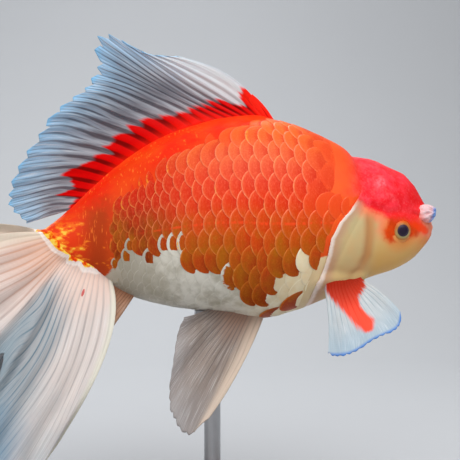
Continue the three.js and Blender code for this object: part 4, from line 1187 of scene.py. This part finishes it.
def wood_finish():
    f = Finish("stand_wood", Roughness=0.4, Coat_Weight=0.3, Coat_Roughness=0.2)
    grain = (f.noise(9, 3, (0.06, 1, 1)) * 26).wave() * 0.5 + 0.5
    pores = f.noise(0.7, 2, (0.03, 1, 1))
    f.feed("Base Color", f.washed((72, 44, 30), (grain, (104, 68, 46)),
                                  (pores.step(0.45, 0.7) * 0.5, (52, 32, 22))))
    f.feed("Roughness", 0.34 + pores * 0.2)
    f.relief(pores + grain * 0.3, 0.12, 0.4)
    return f.material


def steel_finish():
    f = Finish("stand_steel", Metallic=1.0, Roughness=0.3)
    drawn, blotch = f.noise(0.5, 3, (1, 1, 0.02)), f.noise(6, 3)
    f.feed("Base Color", f.mixed(blotch * 0.5, (186, 186, 188), (150, 151, 155)))
    f.feed("Roughness", 0.2 + drawn * 0.2 + blotch * 0.08)
    f.relief(drawn, 0.03, 0.3)
    return f.material


def paper_finish():
    f = Finish("backdrop_paper", Roughness=0.9)
    f.feed("Base Color", f.mixed(f.noise(60, 4) * 0.25, (186, 189, 193), (178, 181, 186)))
    f.relief(f.noise(1.5, 3), 0.05, 0.3)
    return f.material


# ---------------------------------------------------------------- the fish

SKIN, SCALES, EYE, FLAP = skin_finish(), scale_finish(), eye_finish(), flap_finish()
FROM_EDGE = (-1, -0.5)  # for a zone that begins at the fin's very edge or root
PALE_BLUE = (120, 184, 226)
# its first two zones, dark over the middle of the web, are painted shade
BACK_FIN_WEB = fin_finish("back_fin_web", root=(196, 176, 172), web=(94, 96, 106), bone=(176, 182, 190),
                          tip=(138, 182, 216), clear=(0.2, 0.2), ray_width=(0.32, 0.1), lead=(212, 214, 216),
                          outer=PALE_BLUE, lead_reach=0.24, ragged=(1.0, 2.4), foot_reach=0.22, red_fades=1.2,
                          reds=((116, 2, 0), (206, 0, 0), (236, 24, 2)), front_red=(242, 34, 16),
                          zones=[((84, 70, 78), 0.75, ((0.12, 0.3), (1.1, 1.0)), ((0.16, 0.3), (0.8, 0.5))),
                                 ((64, 66, 76), 0.85, ((0.24, 0.38), (0.7, 0.55)), ((0.3, 0.5), (0.95, 0.8))),
                                 ((216, 202, 200), 0.5, (FROM_EDGE, (0.3, 0.14)), ((0.25, 0.5), (1.2, 1.1))),
                                 (PALE_BLUE, 1.3, (FROM_EDGE, (0.024, 0.014)), ((0.3, 0.4), (1.2, 1.1)))])
SPINE_WEB = fin_finish("back_fin_spine_red", root=(236, 50, 30), web=(236, 50, 30), bone=(244, 80, 60),
                       tip=(246, 110, 90), clear=(0, 0), ray_width=(0.32, 0.2),
                       reds=((196, 12, 6), (240, 36, 20), (236, 24, 4)))
# of its zones, the second, blue-grey between the two lobes, is painted shade in the valley there
TAIL_WEB = fin_finish("tail_fin_web", root=(228, 196, 180), web=(182, 172, 170), bone=(214, 203, 198),
                      tip=(160, 174, 182), clear=(0.05, 0.2), ray_width=(0.40, 0.17), lead=(218, 206, 188),
                      trail=(226, 222, 206), reds=((150, 66, 66), (194, 96, 94), (206, 130, 120)),
                      zones=[((212, 158, 130), 0.9, (FROM_EDGE, (0.52, 0.3)), (FROM_EDGE, (0.7, 0.1))),
                             ((96, 126, 142), 1.0, ((0.40, 0.50), (0.82, 0.68)), ((0.12, 0.42), (2, 1.5))),
                             ((84, 128, 158), 0.95, ((0.58, 0.68), (0.86, 0.77)), ((0.6, 0.8), (2, 1.5)))])
# its third red, dark red-brown over the root, is painted shadow where the fin meets the body
PECTORAL_WEB = fin_finish("pectoral_fin_web", root=(200, 186, 180), web=(164, 180, 190), bone=(188, 194, 197),
                          tip=(160, 182, 197), clear=(0.15, 0.2), ray_width=(0.40, 0.2), outer=(40, 116, 206),
                          reds=((232, 56, 36), (244, 80, 58), (134, 24, 0)), ragged=(0.3, 0.9), foot_reach=0.56)
PELVIC_WEB = fin_finish("pelvic_fin_web", root=(166, 128, 108), web=(128, 116, 110), bone=(144, 131, 123),
                        tip=(156, 152, 152), clear=(0.25, 0.25), ray_width=(0.42, 0.18), lead=(208, 188, 170),
                        lead_reach=0.24)
ANAL_WEB = fin_finish("anal_fin_web", root=(190, 128, 96), web=(164, 120, 94), bone=(180, 136, 108),
                      tip=(196, 166, 144), clear=(0.25, 0.3), ray_width=(0.42, 0.14))

rings, marks = skin_rings()
points, faces = closed_tube(rings)
marks = {mark: np.concatenate([v.ravel(), [v[0].mean(), v[-1].mean()]]) for mark, v in marks.items()}
FLESH_NODES = ["trunk", "tail_stalk", "head", "head_growth", "upper_jaw", "lower_jaw", "gill_cover_right",
               "gill_cover_left"]
make_piece("skin", world(points), faces, SKIN, FLESH_NODES, marks)

for side, word in SIDE_WORDS.items():
    points, faces, marks, patches = scale_coat(side)
    make_piece("scales_" + word, world(points), faces, SCALES, ["trunk", "tail_stalk"], marks,
               patches)

fin_piece("back_fin", ["dorsal_fin"], BACK_FIN, BACK_FIN_WEB, 21, 101, size=(380, 90), thick=(2.0, 0.4),
          foot=(1.6, 0.05), folds=(21, 0.2), teeth=0.055, proud=0.09, paint=back_fin_red,
          spacing=([0, 2 / 7, 1], [0, 0.25, 1]))
fin_piece("back_fin_spine", ["dorsal_fin"], BACK_FIN_SPINE, SPINE_WEB, 2, 107, size=(60, 40), thick=(1.5, 0.5),
          foot=(0.8, 0.1), folds=(1, 0.05), teeth=0.0, proud=0.06, waver=0.1, rounded=0.12, paint=all_red)
fin_pair("tail_fin", ["tail_fin_upper", "tail_fin_lower"], TAIL_FIN, mirrored(TAIL_FIN, LEFT_TAIL_CARRIED),
         TAIL_WEB, 25, 103, (tail_spot, None), size=(400, 100), thick=(1.9, 0.4), foot=(2.6, 0.05),
         folds=(7, 1.2), teeth=0.03, proud=0.05, waver=1.0, cuff=tail_cuff)
fin_pair("pectoral", ["pectoral_fin"], PECTORAL_RIGHT, PECTORAL_LEFT, PECTORAL_WEB, 14, 105,
         (pectoral_red, pectoral_red), size=(160, 60), thick=(2.2, 0.4), foot=(1.8, 0.10), folds=(3, 0.3),
         teeth=0.022, proud=0.05, waver=0.3)
fin_pair("pelvic", ["pelvic_fin"], PELVIC_FIN, mirrored(PELVIC_FIN, LEFT_PELVIC_CARRIED), PELVIC_WEB, 15, 107,
         size=(190, 60), thick=(2.0, 0.4), foot=(1.6, 0.07), folds=(3, 0.6), teeth=0.02, proud=0.06)
fin_pair("anal", ["anal_fin"], ANAL_FIN, mirrored(ANAL_FIN), ANAL_WEB, 9, 109, size=(110, 50), thick=(1.8, 0.4),
         foot=(1.3, 0.08), folds=(3, 0.4), teeth=0.03, proud=0.04)
for side in SIDE_WORDS:
    eye_piece(side)
    nostril_flap(side)

# ---------------------------------------------------------------- stand, floor, light and camera

WOOD, STEEL = wood_finish(), steel_finish()
for node in ("stand_base", "stand_rod", "stand_collar", "stand_saddle"):
    solid = frame["nodes"][node]
    solid.data.materials.clear()
    solid.data.materials.append(WOOD if node == "stand_base" else STEEL)

FLOOR_FRONT, SWEEP_FROM, SWEEP_RADIUS = -0.9, 0.35, 0.3  # y where the floor begins and turns up, in metres
WALL_TOP, WALL_HALF = 1.6, 1.6  # its height and half its width


def backdrop():
    """Pale floor that sweeps up into a wall behind."""
    profile = [(FLOOR_FRONT, 0), (SWEEP_FROM, 0)]
    for angle in np.linspace(0.08, math.pi / 2, 18):
        up = SWEEP_RADIUS - SWEEP_RADIUS * math.cos(angle)
        profile.append((SWEEP_FROM + SWEEP_RADIUS * math.sin(angle), up))
    profile.append((SWEEP_FROM + SWEEP_RADIUS, WALL_TOP))
    across = np.linspace(-WALL_HALF, WALL_HALF, 9)
    points = [(x, y, z) for y, z in profile for x in across]
    mesh = smooth_mesh("backdrop", points, grid_faces(len(profile), len(across)), paper_finish())
    sweep = in_scene("backdrop", mesh)


backdrop()
AIM = Vector((0.0065, 0, AXIS_HEIGHT * MM))


def aimed(thing, place):
    """Puts a lamp or the camera in its place and turns it to the fish."""
    thing.location = place
    thing.rotation_euler = (AIM - thing.location).to_track_quat("-Z", "Y").to_euler()


def softbox(name, place, size, power):
    light = bpy.data.lights.new(name, "AREA")
    light.shape, light.size, light.size_y = "RECTANGLE", size[0], size[1]
    light.energy = power
    aimed(in_scene(name, light), place)


softbox("key", (0.12, -0.4, 0.7), (0.7, 0.6), 6.0)
softbox("fill", (-0.5, -0.6, 0.3), (0.8, 0.8), 1.6)
softbox("rim", (-0.1, 0.45, 0.6), (0.5, 0.3), 3.0)
world_light = bpy.data.worlds.new("studio")
world_light.use_nodes = True
background = world_light.node_tree.nodes["Background"].inputs
background["Color"].default_value = (1.0, 0.98, 0.96, 1)
background["Strength"].default_value = 0.22
bpy.context.scene.world = world_light
bpy.context.scene.view_settings.view_transform = "Standard"

VIEW_AZIMUTH, VIEW_ELEVATION, VIEW_DISTANCE = math.radians(-7), math.radians(2), 0.4
HALF_WIDTH = 0.08364  # of the view, at the fish
SENSOR_WIDTH = 36
camera_data = bpy.data.cameras.new("camera")
camera_data.sensor_width = SENSOR_WIDTH
camera_data.lens = SENSOR_WIDTH / 2 * VIEW_DISTANCE / HALF_WIDTH
camera_data.clip_start = 0.01
camera = in_scene("camera", camera_data)
level = math.cos(VIEW_ELEVATION)
aimed(camera, AIM + VIEW_DISTANCE * Vector((math.sin(VIEW_AZIMUTH) * level, -math.cos(VIEW_AZIMUTH) * level,
                                            math.sin(VIEW_ELEVATION))))
bpy.context.scene.camera = camera

bpy.context.view_layer.update()
